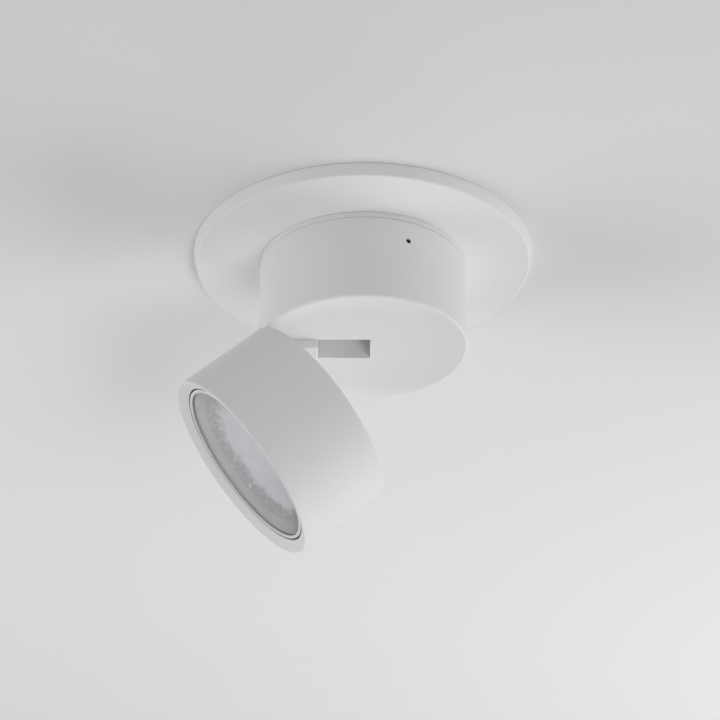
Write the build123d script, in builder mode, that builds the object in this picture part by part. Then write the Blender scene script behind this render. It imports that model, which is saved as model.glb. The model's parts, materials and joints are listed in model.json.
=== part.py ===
from build123d import *
import math
import os

# Surface mounted ceiling spotlight: a round ceiling plate, a short drum that turns under it,
# and a slightly narrower lamp head that folds out from below the drum on a friction hinge.
#
# Frame: origin on the drum's turning axis in the plane of the ceiling, +Z up, so that the
# whole light lies below z = 0. The drum's slot runs from the axis towards -X, and the head
# leans towards -X. Millimetres throughout.

os.makedirs("parts", exist_ok=True)

# ---------------------------------------------------------------- driving dimensions

# Ceiling plate
plate_radius = 109.2  # at the ceiling
plate_face_radius = 107.2  # at its lower face
plate_depth = 8.0
plate_wall = 2.0
plate_edge_round = 1.2

# Mounting bracket, screwed to the ceiling inside the plate
bracket_length = 184.0
bracket_width = 28.0
bracket_thickness = 1.5
bracket_hole_radius = 2.25
bracket_slot_length = 12.0
bracket_slot_spacing = 150.0
bracket_corner = 4.0
bracket_wire_radius = 12.5
bush_radius = 4.5
ring_screw_offset = 40.0  # from the axis, along X

# Swivel ring, fixed below the plate, that the drum turns on
collar_height = 3.8
shadow_gap = 0.3  # between plate and collar
shadow_depth = 0.3
ring_web = 2.5
spigot_length = 20.5  # below the collar
spigot_wall = 4.6
groove_depth = 2.0  # V groove for the set screws
grommet_neck_radius = 9.9
grommet_flange_radius = 12.0
grommet_flange = 1.2
cable_radius = 4.0

# Drum
drum_radius = 66.2
drum_wall = 3.0
drum_height = 57.1
drum_floor = 4.0
floor_skin = 1.2  # left under the blind screw holes
drum_edge_round = 1.8
drum_top_round = 0.3
swivel_gap = 0.3  # between collar and drum
glide_inset = 0.15  # of the glide ring from the drum's outer surface
set_screw_drop = 13.8  # below the drum's top edge
set_screw_radius = 1.6
set_screw_recess = 0.9
set_screw_socket = 0.87
set_screw_socket_depth = 1.2
set_screw_angles = (-65.5, 54.5, 174.5)

# Slot in the drum's floor, and the channel that lines it
slot_width = 23.3
slot_end = 4.2  # past the turning axis
slot_corner = 0.6
liner_sheet = 1.5
liner_height = 20.1
liner_flange = 9.0
liner_screw_xs = (-40.0, -4.0)
liner_flange_end = 8.0  # past the last screw
bush_neck = 1.3  # wall of the lead's bush in the liner
bush_lip = 1.3  # of the bush over the liner
bush_lip_height = 1.2
bush_room = 0.15
notch_height = 13.1  # of the way out through the drum's wall

# Hinge
tilt = 51.0  # of the head in this pose, from straight down
hinge_inset = 6.4  # hinge axis to the drum's outer surface
hinge_rise = 5.6  # hinge axis above the drum's lower face
hinge_drop = 8.0  # hinge axis to the head's back
ear_radius = 5.2
pin_radius = 2.0
pin_play = 0.12  # in the tongue, which turns on the pins
pin_head_radius = 3.4
pin_head = 1.6
pin_socket = 1.4
pin_socket_depth = 1.0
pin_reach = 2.8  # into the tongue
washer_thickness = 0.8
washer_inset = 0.3
block_reach = 30.9  # hinge axis to the end that shows in the slot
block_drop = 5.8  # below the drum's lower face
block_toe_reach = 11.6  # hinge axis to the left end of the block's lowest face
block_chamfer = 0.4
block_end_round = 1.2
block_overhang = 1.4  # of the block past the hinge axis
toe_rise = 1.0  # of the block's toe above the folded head's back
ear_flat = 4.4  # below the hinge axis
fork_play = 0.6
block_screw_reaches = (6.1, 24.6)  # from the hinge axis
block_screw_depth = 10.0
block_bore_reach = 15.6  # hinge axis to where the lead comes down through the block
tongue_width = 10.0
tongue_foot = 7.6  # hinge axis to the tongue's inner edge where it enters the head
tongue_room = 1.0  # between the folded tongue and the block
tongue_neck = 1.5  # straight part of the tongue outside the head
tongue_flange = 3.0
tongue_flange_half = 13.5
tongue_flange_inset = 0.5
tongue_screw_inset = 4.4
tongue_screw_half = 9.6
channel_skin = 0.2  # between the pins and the lead's way through the tongue
lead_radius = 1.6
lead_bend = 6.0
lead_rise = 7.5  # of the lead's crossing above the liner
lead_start = 2.8  # from the hinge axis
lead_shift = 1.2  # of the head's lead inwards from the hinge
lead_room = 0.3  # round the lead in its channels
split_gap = 1.5  # where the supply crosses from the plate to the drum
split_drop = 1.0  # of that crossing below the spigot

# Head
head_inset = 2.2  # of the head's outer surface from the drum's
head_length = 62.5
head_wall = 3.0
head_edge_round = 1.0
aperture_inset = 7.5  # of the opening's edge from the outer surface
front_lip = 4.6
face_land = 1.6  # flat ring round the dished front face
back_thickness = 4.0
pocket_depth = 4.6  # takes the block's foot when the head is folded up
pocket_skin = 2.0
pocket_play = 1.6
back_screw_inset = 9.5  # from the outer surface
back_screw_angles = (45.0, 135.0, 225.0, 315.0)
back_boss_inset = 7.5
back_boss_radius = 4.6
back_boss_length = 11.0
back_screw_depth = 8.5  # into the boss
boss_root = 0.5  # of the bosses in the head's wall
cradle_screw_inset = 5.6
cradle_screw_angles = (60.0, 180.0, 300.0)
cradle_boss_radius = 2.3
cradle_boss_length = 11.4
cradle_screw_depth = 6.5  # into the boss
cradle_thickness = 1.2
cradle_lap = 5.5  # of the cradle behind the lamp's rim
spring_count = 3
spring_width = 9.0
spring_sheet = 0.35
spring_height = 9.2
spring_play = 0.2
spring_foot_inset = 0.8

# Lamp, 111 mm type
lamp_play = 1.0  # between lamp and opening
lamp_recess = 3.6  # of the lamp's rim behind the head's face
lamp_rim_width = 2.2
lamp_rim_height = 2.5
lamp_rim_round = 0.5
lamp_shell = 1.5
cone_wall = 2.5
lens_thickness = 2.0
lens_chamfer = 0.4
lens_recess = 1.1  # below the rim's front face
lens_lap = 0.6  # of the rim's lip over the lens
reflector_sheet = 1.0
reflector_throat = 12.0
throat_gap = 0.3  # between emitter and reflector
housing_back_radius = 31.0
housing_room = 24.5  # from the head's back to the housing's back
slug_thickness = 6.0
fin_count = 24
fin_thickness = 1.6
fin_tip_inset = 6.3  # from the lamp's edge
fin_stand = 0.2  # of the fins outside the cone's mouth
fin_sink = 1.0  # of the fins in the housing's back
board_radius = 27.0
board_thickness = 1.6
board_seat_play = 2.0
board_hole_circle = 23.0
board_hole_radius = 1.6
board_hole_angles = (0.0, 120.0, 240.0)
emitter_radius = 9.0
emitter_height = 1.4
lamp_base_radius = 32.0
lamp_base_height = 6.0
lamp_base_chamfer = 1.0
contact_spacing = 53.0
contact_length = 8.0
contact_width = 6.0
contact_thickness = 0.8
holder_size = (66.0, 12.0, 8.0)
holder_skin = 1.0  # behind the contacts

# Driver
driver_size = (62.0, 25.0, 26.0)
driver_inset = 29.6  # of its centre from the drum's outer surface, along Y
driver_sheet = 1.5
driver_ear = 7.0
driver_ear_height = 2.0
driver_ear_inset = 5.0  # of the ear's screw from the case's near side
cover_lap = 1.2
capacitor_radius = 4.0
capacitor_height = 12.0
capacitor_inset = 7.0  # from the board's end
capacitor_offset = 5.5  # either side of the board's middle
board_post_radius = 1.5
board_post_inset = 3.0
driver_board_rise = 4.0
driver_lead_drop = 3.6  # of the supply's way in below the case's top
driver_lead_bend = 4.0
transformer_size = (24.0, 17.0, 14.0)
transformer_x = -8.0
transformer_chamfer = 1.5

# Terminal block, earth screw and turning stop
terminal_size = (31.0, 17.0, 13.0)
terminal_offset = -27.0  # along Y
terminal_pitch = 10.0
well_offset = 4.2  # of a pole's two screws from its middle
well_radius = 2.2
well_depth = 6.0
entry_radius = 1.9
entry_drop = 4.0  # below the swivel ring's web
entry_depth = 5.0
terminal_screw_length = 3.5
slit_depth = 1.0
slit_width = 0.7
earth_spot = (-26.0, 24.0)
earth_depth = 1.9
stop_inset = 6.0  # from the inside of the spigot
stop_post_radius = 3.0
stop_post_angle = -100.0
stop_lap = 0.5  # of the post past the pin
stop_chamfer = 0.5
stop_pin_radius = 1.5
stop_pin_reach = 9.0  # inside the spigot

# Clearances
screw_play = 0.1
running_fit = 0.05
fit_play = 0.25
spigot_play = 0.4
small_play = 0.1
nearly = 0.01  # for picking edges by place or radius

# Fasteners
screw_end = 0.5  # of a blind hole past its screw
m2_radius = 1.0
m2_head_radius = 1.9
m2_head_height = 1.3
m3_radius = 1.5
m3_head_radius = 2.9
m3_head_height = 1.8
m4_radius = 2.0
m4_head_radius = 3.8
m4_head_height = 2.4
socket_share = 0.5  # socket's across-corner radius to the head's radius
socket_depth_share = 0.6  # socket's depth to the head's height

# ---------------------------------------------------------------- levels and frames

plate_bottom = -plate_depth
plate_inside = plate_bottom + plate_wall
web_bottom = plate_bottom - ring_web
collar_bottom = plate_bottom - collar_height
spigot_bottom = collar_bottom - spigot_length
drum_top = collar_bottom - swivel_gap
drum_bottom = drum_top - drum_height
floor_top = drum_bottom + drum_floor
set_screw_z = drum_top - set_screw_drop
liner_top = floor_top + liner_height
liner_ceiling = liner_top - liner_sheet

drum_inner_radius = drum_radius - drum_wall
spigot_radius = drum_inner_radius - spigot_play
spigot_inner_radius = spigot_radius - spigot_wall
driver_offset = drum_radius - driver_inset
stop_circle = spigot_inner_radius - stop_inset

hinge_x = hinge_inset - drum_radius
hinge_z = drum_bottom + hinge_rise
hinge_reach = -hinge_x  # the head is in line with the drum when it is folded up
lead_line = hinge_reach - lead_shift
block_bottom = drum_bottom - block_drop
folded_back = hinge_z - hinge_drop  # level of the head's back when it is folded up
block_width = slot_width - 2 * fit_play
block_end = hinge_x + block_reach
block_toe = hinge_x + block_toe_reach
block_bore_x = hinge_x + block_bore_reach
block_screw_xs = [hinge_x + reach for reach in block_screw_reaches]
tongue_foot_end = tongue_foot - hinge_reach
fork_width = tongue_width + 2 * washer_thickness + 2 * small_play

lean = math.radians(tilt)
head_across = Vector(math.cos(lean), 0, -math.sin(lean))
head_forward = Vector(-math.sin(lean), 0, -math.cos(lean))
hinge_point = Vector(hinge_x, 0, hinge_z)
head_origin = hinge_point + head_across * hinge_reach + head_forward * hinge_drop
head_frame = Plane(origin=head_origin, x_dir=head_across, z_dir=head_forward)
head_section = Plane(origin=head_origin, x_dir=head_across, z_dir=head_across.cross(head_forward))
head_axis = Axis(head_origin, head_forward)

head_radius = drum_radius - head_inset
head_inner_radius = head_radius - head_wall
aperture_radius = head_radius - aperture_inset
lamp_radius = aperture_radius - lamp_play
cradle_hole_radius = lamp_radius - cradle_lap
cradle_screw_circle = head_radius - cradle_screw_inset
back_screw_circle = head_radius - back_screw_inset
back_boss_circle = head_radius - back_boss_inset
fin_tip_radius = lamp_radius - fin_tip_inset
lip_back = head_length - front_lip
cradle_front = lip_back - cradle_boss_length
cradle_back = cradle_front - cradle_thickness
rim_face = head_length - lamp_recess
rim_back = rim_face - lamp_rim_height
lens_front = rim_face - lens_recess
lens_back = lens_front - lens_thickness
reflector_front = lens_back - small_play
lip_radius = lamp_radius - lamp_rim_width
lens_radius = lip_radius + lens_lap
reflector_radius = lens_radius - small_play
housing_back = housing_room
slug_front = housing_back + slug_thickness
board_front = slug_front + board_thickness
contact_back = housing_back - lamp_base_height - contact_length
pocket_far = block_end + pocket_play
pocket_near = block_toe - pocket_play
pocket_half = block_width / 2 + pocket_play


# ---------------------------------------------------------------- small helpers

def turned(outline, section, axis, mode=Mode.ADD):
    """Revolve a closed outline of (radius, height) points."""
    with BuildSketch(section) as profile:
        with BuildLine():
            Polyline(*outline, close=True)
        make_face()
    revolve(profile.sketch, axis=axis, mode=mode)


def discs(plane, spots, radius, height, mode=Mode.ADD):
    """Round studs, or round holes with Mode.SUBTRACT, that start on a plane."""
    with BuildSketch(plane) as circles:
        with Locations(*spots):
            Circle(radius)
    extrude(circles.sketch, amount=height, mode=mode)


def block(plane, x_span, y_span, height, mode=Mode.ADD):
    """A box over the given spans of a plane's own x and y, from the plane up."""
    with BuildSketch(plane) as base:
        with Locations(((x_span[0] + x_span[1]) / 2, (y_span[0] + y_span[1]) / 2)):
            Rectangle(x_span[1] - x_span[0], y_span[1] - y_span[0])
    extrude(base.sketch, amount=height, mode=mode)


def sockets(plane, spots, radius, depth):
    """Hexagon sockets sunk into screw heads, below a plane that faces out of them."""
    with BuildSketch(plane) as recess:
        with Locations(*spots):
            RegularPolygon(radius, 6)
    extrude(recess.sketch, amount=-depth, mode=Mode.SUBTRACT)


def pan_screws(plane, spots, radius, head_radius, head_height, length):
    """Screws whose heads stand on a plane and whose shanks go down through it."""
    discs(plane, spots, head_radius, head_height)
    discs(plane, spots, radius, -length)
    sockets(plane.offset(head_height), spots, head_radius * socket_share,
            head_height * socket_depth_share)


def sunk_screws(plane, spots, radius, head_radius, length):
    """Countersunk screws, flush with a plane, whose shanks go down through it."""
    head_height = head_radius - radius
    for spot in spots:
        with BuildSketch(plane) as wide:
            with Locations(spot):
                Circle(head_radius)
        with BuildSketch(plane.offset(-head_height)) as narrow:
            with Locations(spot):
                Circle(radius)
        loft([wide.sketch, narrow.sketch])
    discs(plane, spots, radius, -length)
    sockets(plane, spots, head_radius * socket_share, head_height)


def countersinks(plane, spots, radius, head_radius, depth):
    """Holes with a conical mouth on a plane, for the screws above."""
    for spot in spots:
        with BuildSketch(plane) as wide:
            with Locations(spot):
                Circle(head_radius + screw_play)
        with BuildSketch(plane.offset(-(head_radius - radius))) as narrow:
            with Locations(spot):
                Circle(radius + screw_play)
        loft([wide.sketch, narrow.sketch], mode=Mode.SUBTRACT)
    discs(plane, spots, radius + screw_play, -depth, mode=Mode.SUBTRACT)


def polar(circle, angles):
    """Spots on a circle at the given angles in degrees."""
    return [(circle * math.cos(math.radians(a)), circle * math.sin(math.radians(a))) for a in angles]


def lead(corners, radius, bend, mode=Mode.ADD):
    """A round lead, or its channel, along straight runs joined by tangent arcs."""
    with BuildLine() as route:
        if len(corners) > 2:
            FilletPolyline(*corners, radius=bend)
        else:
            Line(*corners)
    start = route.line @ 0
    with BuildSketch(Plane(origin=start, z_dir=route.line % 0)) as section:
        Circle(radius)
    sweep(section.sketch, path=route.line, mode=mode)


# ---------------------------------------------------------------- base: fixed to the ceiling

bracket_spots = [(-ring_screw_offset, 0), (ring_screw_offset, 0)]

with BuildPart() as mounting_bracket:
    with BuildSketch(Plane.XY) as bar:
        RectangleRounded(bracket_length, bracket_width, bracket_corner)
        Circle(bracket_wire_radius, mode=Mode.SUBTRACT)
        with Locations((-bracket_slot_spacing / 2, 0), (bracket_slot_spacing / 2, 0)):
            SlotOverall(bracket_slot_length, 2 * bracket_hole_radius, mode=Mode.SUBTRACT)
        with Locations(*bracket_spots):
            Circle(m4_radius + running_fit, mode=Mode.SUBTRACT)
    extrude(bar.sketch, amount=-bracket_thickness)
mounting_bracket.part.label = "mounting_bracket"
export_step(mounting_bracket.part, "parts/mounting_bracket.step")

with BuildPart() as bracket_bushes:
    bush_top = Plane.XY.offset(-bracket_thickness)
    bush_length = -plate_inside - bracket_thickness
    discs(bush_top, bracket_spots, bush_radius, -bush_length)
    discs(bush_top, bracket_spots, m4_radius + running_fit, -bush_length, mode=Mode.SUBTRACT)
bracket_bushes.part.label = "bracket_bushes"
export_step(bracket_bushes.part, "parts/bracket_bushes.step")

with BuildPart() as ceiling_plate:
    rim_slope = (plate_radius - plate_face_radius) / plate_depth
    inside_face_radius = plate_face_radius - plate_wall + rim_slope * plate_wall
    plate_outline = [
        (grommet_neck_radius + small_play, plate_bottom),
        (plate_face_radius, plate_bottom),
        (plate_radius, 0),
        (plate_radius - plate_wall, 0),
        (inside_face_radius, plate_inside),
        (grommet_neck_radius + small_play, plate_inside),
    ]
    turned(plate_outline, Plane.XZ, Axis.Z)
    face_edge = ceiling_plate.edges().filter_by(GeomType.CIRCLE).filter_by_position(
        Axis.Z, plate_bottom - nearly, plate_bottom + nearly
    )
    fillet(face_edge.sort_by(SortBy.RADIUS)[-1], radius=plate_edge_round)
    discs(Plane.XY, bracket_spots, m4_radius + screw_play, -plate_depth - 1, mode=Mode.SUBTRACT)
ceiling_plate.part.label = "ceiling_plate"
export_step(ceiling_plate.part, "parts/ceiling_plate.step")

with BuildPart() as swivel_ring:
    shadow_radius = drum_radius - shadow_depth
    ring_outline = [
        (grommet_neck_radius + small_play, plate_bottom),
        (shadow_radius, plate_bottom),
        (shadow_radius, plate_bottom - shadow_gap),
        (drum_radius, plate_bottom - shadow_gap),
        (drum_radius, collar_bottom),
        (spigot_radius, collar_bottom),
        (spigot_radius, set_screw_z + groove_depth),
        (spigot_radius - groove_depth, set_screw_z),
        (spigot_radius, set_screw_z - groove_depth),
        (spigot_radius, spigot_bottom),
        (spigot_inner_radius, spigot_bottom),
        (spigot_inner_radius, web_bottom),
        (grommet_neck_radius + small_play, web_bottom),
    ]
    turned(ring_outline, Plane.XZ, Axis.Z)
    web_face = Plane.XY.offset(plate_bottom + 1)
    discs(web_face, bracket_spots, m4_radius + screw_play, -ring_web - 2, mode=Mode.SUBTRACT)
    pin_level = (set_screw_z - groove_depth + spigot_bottom) / 2
    stop_pin_angle = math.radians(stop_post_angle + 180)
    stop_pin_way = Vector(math.cos(stop_pin_angle), math.sin(stop_pin_angle), 0)
    pin_hole = Plane(origin=(0, 0, pin_level), z_dir=stop_pin_way)
    discs(pin_hole, [(0, 0)], stop_pin_radius, spigot_radius + 1, mode=Mode.SUBTRACT)
    discs(Plane.XY.offset(web_bottom), [earth_spot], m4_radius, earth_depth, mode=Mode.SUBTRACT)
swivel_ring.part.label = "swivel_ring"
export_step(swivel_ring.part, "parts/swivel_ring.step")

with BuildPart() as ring_screws:
    under_web = Plane(origin=(0, 0, web_bottom), x_dir=(1, 0, 0), z_dir=(0, 0, -1))
    ring_screw_length = -web_bottom - bracket_thickness
    pan_screws(under_web, bracket_spots, m4_radius, m4_head_radius, m4_head_height, ring_screw_length)
ring_screws.part.label = "ring_screws"
export_step(ring_screws.part, "parts/ring_screws.step")

with BuildPart() as cable_grommet:
    grommet_outline = [
        (cable_radius, plate_inside + grommet_flange),
        (grommet_flange_radius, plate_inside + grommet_flange),
        (grommet_flange_radius, plate_inside),
        (grommet_neck_radius, plate_inside),
        (grommet_neck_radius, web_bottom),
        (grommet_flange_radius, web_bottom),
        (grommet_flange_radius, web_bottom - grommet_flange),
        (cable_radius, web_bottom - grommet_flange),
    ]
    turned(grommet_outline, Plane.XZ, Axis.Z)
cable_grommet.part.label = "cable_grommet"
export_step(cable_grommet.part, "parts/cable_grommet.step")

terminal_xs = (-terminal_pitch, 0, terminal_pitch)
terminal_bottom = web_bottom - terminal_size[2]

with BuildPart() as terminal_block:
    half_x, half_y = terminal_size[0] / 2, terminal_size[1] / 2
    terminal_y = (terminal_offset - half_y, terminal_offset + half_y)
    block(Plane.XY.offset(web_bottom), (-half_x, half_x), terminal_y, -terminal_size[2])
    wells = [(x, terminal_offset + side * well_offset) for x in terminal_xs for side in (-1, 1)]
    discs(Plane.XY.offset(terminal_bottom), wells, well_radius, well_depth, mode=Mode.SUBTRACT)
    with BuildSketch(Plane.XZ.offset(-terminal_y[1])) as entries:
        with Locations(*[(x, web_bottom - entry_drop) for x in terminal_xs]):
            Circle(entry_radius)
    extrude(entries.sketch, amount=entry_depth, mode=Mode.SUBTRACT)
terminal_block.part.label = "terminal_block"
export_step(terminal_block.part, "parts/terminal_block.step")

with BuildPart() as terminal_screws:
    screw_floor = Plane.XY.offset(terminal_bottom + well_depth)
    discs(screw_floor, wells, well_radius - small_play, -terminal_screw_length)
    with BuildSketch(screw_floor.offset(-terminal_screw_length)) as slits:
        with Locations(*wells):
            Rectangle(2 * well_radius, slit_width)
    extrude(slits.sketch, amount=slit_depth, mode=Mode.SUBTRACT)
terminal_screws.part.label = "terminal_screws"
export_step(terminal_screws.part, "parts/terminal_screws.step")

with BuildPart() as earth_screw:
    pan_screws(under_web, [(earth_spot[0], -earth_spot[1])], m4_radius - running_fit,
               m4_head_radius, m4_head_height, earth_depth - small_play)
earth_screw.part.label = "earth_screw"
export_step(earth_screw.part, "parts/earth_screw.step")

with BuildPart() as stop_pin:
    pin_seat = Plane(origin=(0, 0, pin_level), z_dir=stop_pin_way)
    pin_start = spigot_inner_radius - stop_pin_reach
    pin_length = stop_pin_reach + spigot_wall - small_play
    discs(pin_seat.offset(pin_start), [(0, 0)], stop_pin_radius - running_fit, pin_length)
stop_pin.part.label = "stop_pin"
export_step(stop_pin.part, "parts/stop_pin.step")

with BuildPart() as glide_ring:
    ring_thickness = swivel_gap - small_play
    glide_outline = [
        (spigot_radius + small_play, collar_bottom),
        (drum_radius - glide_inset, collar_bottom),
        (drum_radius - glide_inset, collar_bottom - ring_thickness),
        (spigot_radius + small_play, collar_bottom - ring_thickness),
    ]
    turned(glide_outline, Plane.XZ, Axis.Z)
glide_ring.part.label = "glide_ring"
export_step(glide_ring.part, "parts/glide_ring.step")

supply_level = web_bottom - terminal_size[2] / 2
supply_split = spigot_bottom - split_drop

with BuildPart() as supply_lead:
    supply_corners = [
        (0, terminal_y[1] + small_play, supply_level),
        (0, 0, supply_level),
        (0, 0, supply_split + split_gap / 2),
    ]
    lead(supply_corners, lead_radius, lead_bend)
supply_lead.part.label = "supply_lead"
export_step(supply_lead.part, "parts/supply_lead.step")

# ---------------------------------------------------------------- drum: turns about Z

liner_screw_y = slot_width / 2 + liner_sheet + liner_flange / 2
liner_spots = [(x, side * liner_screw_y) for x in liner_screw_xs for side in (-1, 1)]
driver_half_x, driver_half_y = driver_size[0] / 2, driver_size[1] / 2
driver_spots = [(side * (driver_half_x + driver_ear / 2), driver_offset - driver_half_y + driver_ear_inset)
                for side in (-1, 1)]
stop_spot = polar(stop_circle, (stop_post_angle,))[0]
floor_screw_depth = drum_floor - floor_skin

with BuildPart() as drum_shell:
    shell_outline = [
        (0, drum_bottom),
        (drum_radius, drum_bottom),
        (drum_radius, drum_top),
        (drum_inner_radius, drum_top),
        (drum_inner_radius, floor_top),
        (0, floor_top),
    ]
    turned(shell_outline, Plane.XZ, Axis.Z)
    rims = drum_shell.edges().filter_by(GeomType.CIRCLE)
    low_rim = rims.filter_by_position(Axis.Z, drum_bottom - nearly, drum_bottom + nearly)
    top_rim = rims.filter_by_position(Axis.Z, drum_top - nearly, drum_top + nearly)
    fillet(low_rim.sort_by(SortBy.RADIUS)[-1], radius=drum_edge_round)
    fillet(top_rim.sort_by(SortBy.RADIUS)[-1], radius=drum_top_round)
    with BuildSketch(Plane.XY.offset(drum_bottom)) as slot:
        with Locations(((slot_end - drum_radius - 1) / 2, 0)):
            Rectangle(slot_end + drum_radius + 1, slot_width)
        inner_corners = slot.vertices().group_by(Axis.X)[-1]
        fillet(inner_corners, radius=slot_corner)
    extrude(slot.sketch, amount=drum_floor, mode=Mode.SUBTRACT)
    wall_span = (-drum_radius - 1, -drum_inner_radius + drum_wall)
    block(Plane.XY.offset(drum_bottom), wall_span, (-slot_width / 2, slot_width / 2),
          notch_height, mode=Mode.SUBTRACT)
    for angle in set_screw_angles:
        way = (math.cos(math.radians(angle)), math.sin(math.radians(angle)), 0)
        screw_way = Plane(origin=(0, 0, set_screw_z), z_dir=way)
        discs(screw_way, [(0, 0)], set_screw_radius + running_fit, drum_radius + 1, mode=Mode.SUBTRACT)
    for spots in (liner_spots, driver_spots, [stop_spot]):
        discs(Plane.XY.offset(floor_top), spots, m3_radius + running_fit, -floor_screw_depth,
              mode=Mode.SUBTRACT)
drum_shell.part.label = "drum_shell"
export_step(drum_shell.part, "parts/drum_shell.step")

with BuildPart() as set_screws:
    screw_head = drum_radius - set_screw_recess
    screw_tip = spigot_radius - groove_depth + spigot_play
    screw_shoulder = screw_tip + set_screw_radius
    for angle in set_screw_angles:
        way = Vector(math.cos(math.radians(angle)), math.sin(math.radians(angle)), 0)
        seat = Plane(origin=(0, 0, set_screw_z), z_dir=way)
        discs(seat.offset(screw_shoulder), [(0, 0)], set_screw_radius, screw_head - screw_shoulder)
        with BuildSketch(seat.offset(screw_shoulder)) as cone_base:
            Circle(set_screw_radius)
        extrude(cone_base.sketch, amount=-(set_screw_radius - small_play), taper=45)
        sockets(seat.offset(screw_head), [(0, 0)], set_screw_socket, set_screw_socket_depth)
set_screws.part.label = "set_screws"
export_step(set_screws.part, "parts/set_screws.step")

liner_half = slot_width / 2 + liner_sheet
liner_left = -math.sqrt(drum_inner_radius**2 - liner_half**2) + fit_play

bush_radius_out = lead_radius + bush_neck

with BuildPart() as slot_liner:
    liner_base = Plane.XY.offset(floor_top)
    liner_right = slot_end + liner_sheet
    block(liner_base, (liner_left, liner_right), (-liner_half, liner_half), liner_height)
    flange_span = (liner_screw_xs[0] - liner_flange_end, liner_right)
    flange_half = liner_half + liner_flange
    block(liner_base, flange_span, (-flange_half, flange_half), liner_sheet)
    block(liner_base, (liner_left - 1, slot_end), (-slot_width / 2, slot_width / 2),
          liner_height - liner_sheet, mode=Mode.SUBTRACT)
    discs(liner_base, liner_spots, m3_radius + screw_play, liner_sheet, mode=Mode.SUBTRACT)
    block_spots = [(x, 0) for x in block_screw_xs]
    discs(Plane.XY.offset(liner_ceiling), block_spots, m4_radius + screw_play, liner_sheet,
          mode=Mode.SUBTRACT)
    discs(Plane.XY.offset(liner_ceiling), [(block_bore_x, 0)], bush_radius_out + small_play, liner_sheet,
          mode=Mode.SUBTRACT)
slot_liner.part.label = "slot_liner"
export_step(slot_liner.part, "parts/slot_liner.step")

with BuildPart() as liner_screws:
    pan_screws(Plane.XY.offset(floor_top + liner_sheet), liner_spots, m3_radius, m3_head_radius,
               m3_head_height, liner_sheet + floor_screw_depth - small_play)
liner_screws.part.label = "liner_screws"
export_step(liner_screws.part, "parts/liner_screws.step")

with BuildPart() as liner_bush:
    bush_hole = lead_radius + bush_room
    bush_outline = [
        (bush_hole, liner_ceiling + small_play),
        (bush_radius_out, liner_ceiling + small_play),
        (bush_radius_out, liner_top),
        (bush_radius_out + bush_lip, liner_top),
        (bush_radius_out + bush_lip, liner_top + bush_lip_height),
        (bush_hole, liner_top + bush_lip_height),
    ]
    bush_section = Plane(origin=(block_bore_x, 0, 0), x_dir=(1, 0, 0), z_dir=(0, -1, 0))
    turned(bush_outline, bush_section, Axis((block_bore_x, 0, 0), (0, 0, 1)))
liner_bush.part.label = "liner_bush"
export_step(liner_bush.part, "parts/liner_bush.step")

# The lead leaves the hinge axis to the right, rises through the block, passes the liner's
# bush, and crosses above the liner to the driver.
lead_level = liner_top + lead_rise
driver_top = floor_top + driver_size[2]
driver_entry_z = floor_top + driver_size[2] / 2
lead_corners = [
    (hinge_x + lead_start, 0, hinge_z),
    (block_bore_x, 0, hinge_z),
    (block_bore_x, 0, lead_level),
    (block_bore_x, driver_offset, lead_level),
    (block_bore_x, driver_offset, driver_entry_z),
    (-driver_half_x - small_play, driver_offset, driver_entry_z),
]

block_left = hinge_x - block_overhang

with BuildPart() as hinge_block:
    with BuildSketch(Plane.XZ) as side:
        with BuildLine():
            Polyline(
                (block_left, liner_ceiling),
                (block_end, liner_ceiling),
                (block_end, block_bottom),
                (block_toe, block_bottom),
                (block_toe, folded_back + toe_rise),
                (hinge_x + ear_radius, hinge_z - ear_flat),
                (hinge_x, hinge_z - ear_flat),
                (block_left, hinge_z),
                close=True,
            )
        make_face()
        fillet(side.vertices().sort_by(lambda corner: corner.X - corner.Z)[-1], radius=block_end_round)
        with Locations((hinge_x, hinge_z)):
            Circle(ear_radius)
    extrude(side.sketch, amount=block_width / 2, both=True)
    low_edges = hinge_block.edges().filter_by(Axis.X).filter_by_position(
        Axis.Z, block_bottom - nearly, block_bottom + nearly
    )
    chamfer(low_edges, length=block_chamfer)
    fork_top = hinge_z + ear_radius + fork_play
    fork_right = hinge_x + ear_radius + fork_play
    fork_left = hinge_x - ear_radius - 2
    foot_room = tongue_foot_end + tongue_room
    with BuildSketch(Plane.XZ) as fork:
        with BuildLine():
            Polyline(
                (fork_left, fork_top),
                (fork_right, fork_top),
                (fork_right, hinge_z),
                (foot_room, folded_back + tongue_neck),
                (foot_room, block_bottom - 1),
                (fork_left, block_bottom - 1),
                close=True,
            )
        make_face()
    extrude(fork.sketch, amount=fork_width / 2, both=True, mode=Mode.SUBTRACT)
    pin_line = Plane(origin=(hinge_x, 0, hinge_z), x_dir=(1, 0, 0), z_dir=(0, 1, 0))
    discs(pin_line.offset(-block_width), [(0, 0)], pin_radius, 2 * block_width, mode=Mode.SUBTRACT)
    for side_sign in (-1, 1):
        head_seat = pin_line.offset(side_sign * (block_width / 2 - pin_head))
        discs(head_seat, [(0, 0)], pin_head_radius + screw_play, side_sign * (pin_head + 1),
              mode=Mode.SUBTRACT)
    discs(Plane.XY.offset(liner_ceiling), block_spots, m4_radius + running_fit, -block_screw_depth,
          mode=Mode.SUBTRACT)
    bore_corners = [
        (fork_right - 1, 0, hinge_z),
        (block_bore_x, 0, hinge_z),
        (block_bore_x, 0, liner_ceiling + 1),
    ]
    lead(bore_corners, lead_radius + lead_room, lead_bend, mode=Mode.SUBTRACT)
hinge_block.part.label = "hinge_block"
export_step(hinge_block.part, "parts/hinge_block.step")

with BuildPart() as block_screws:
    pan_screws(Plane.XY.offset(liner_top), block_spots, m4_radius, m4_head_radius, m4_head_height,
               liner_sheet + block_screw_depth - small_play)
block_screws.part.label = "block_screws"
export_step(block_screws.part, "parts/block_screws.step")

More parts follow.
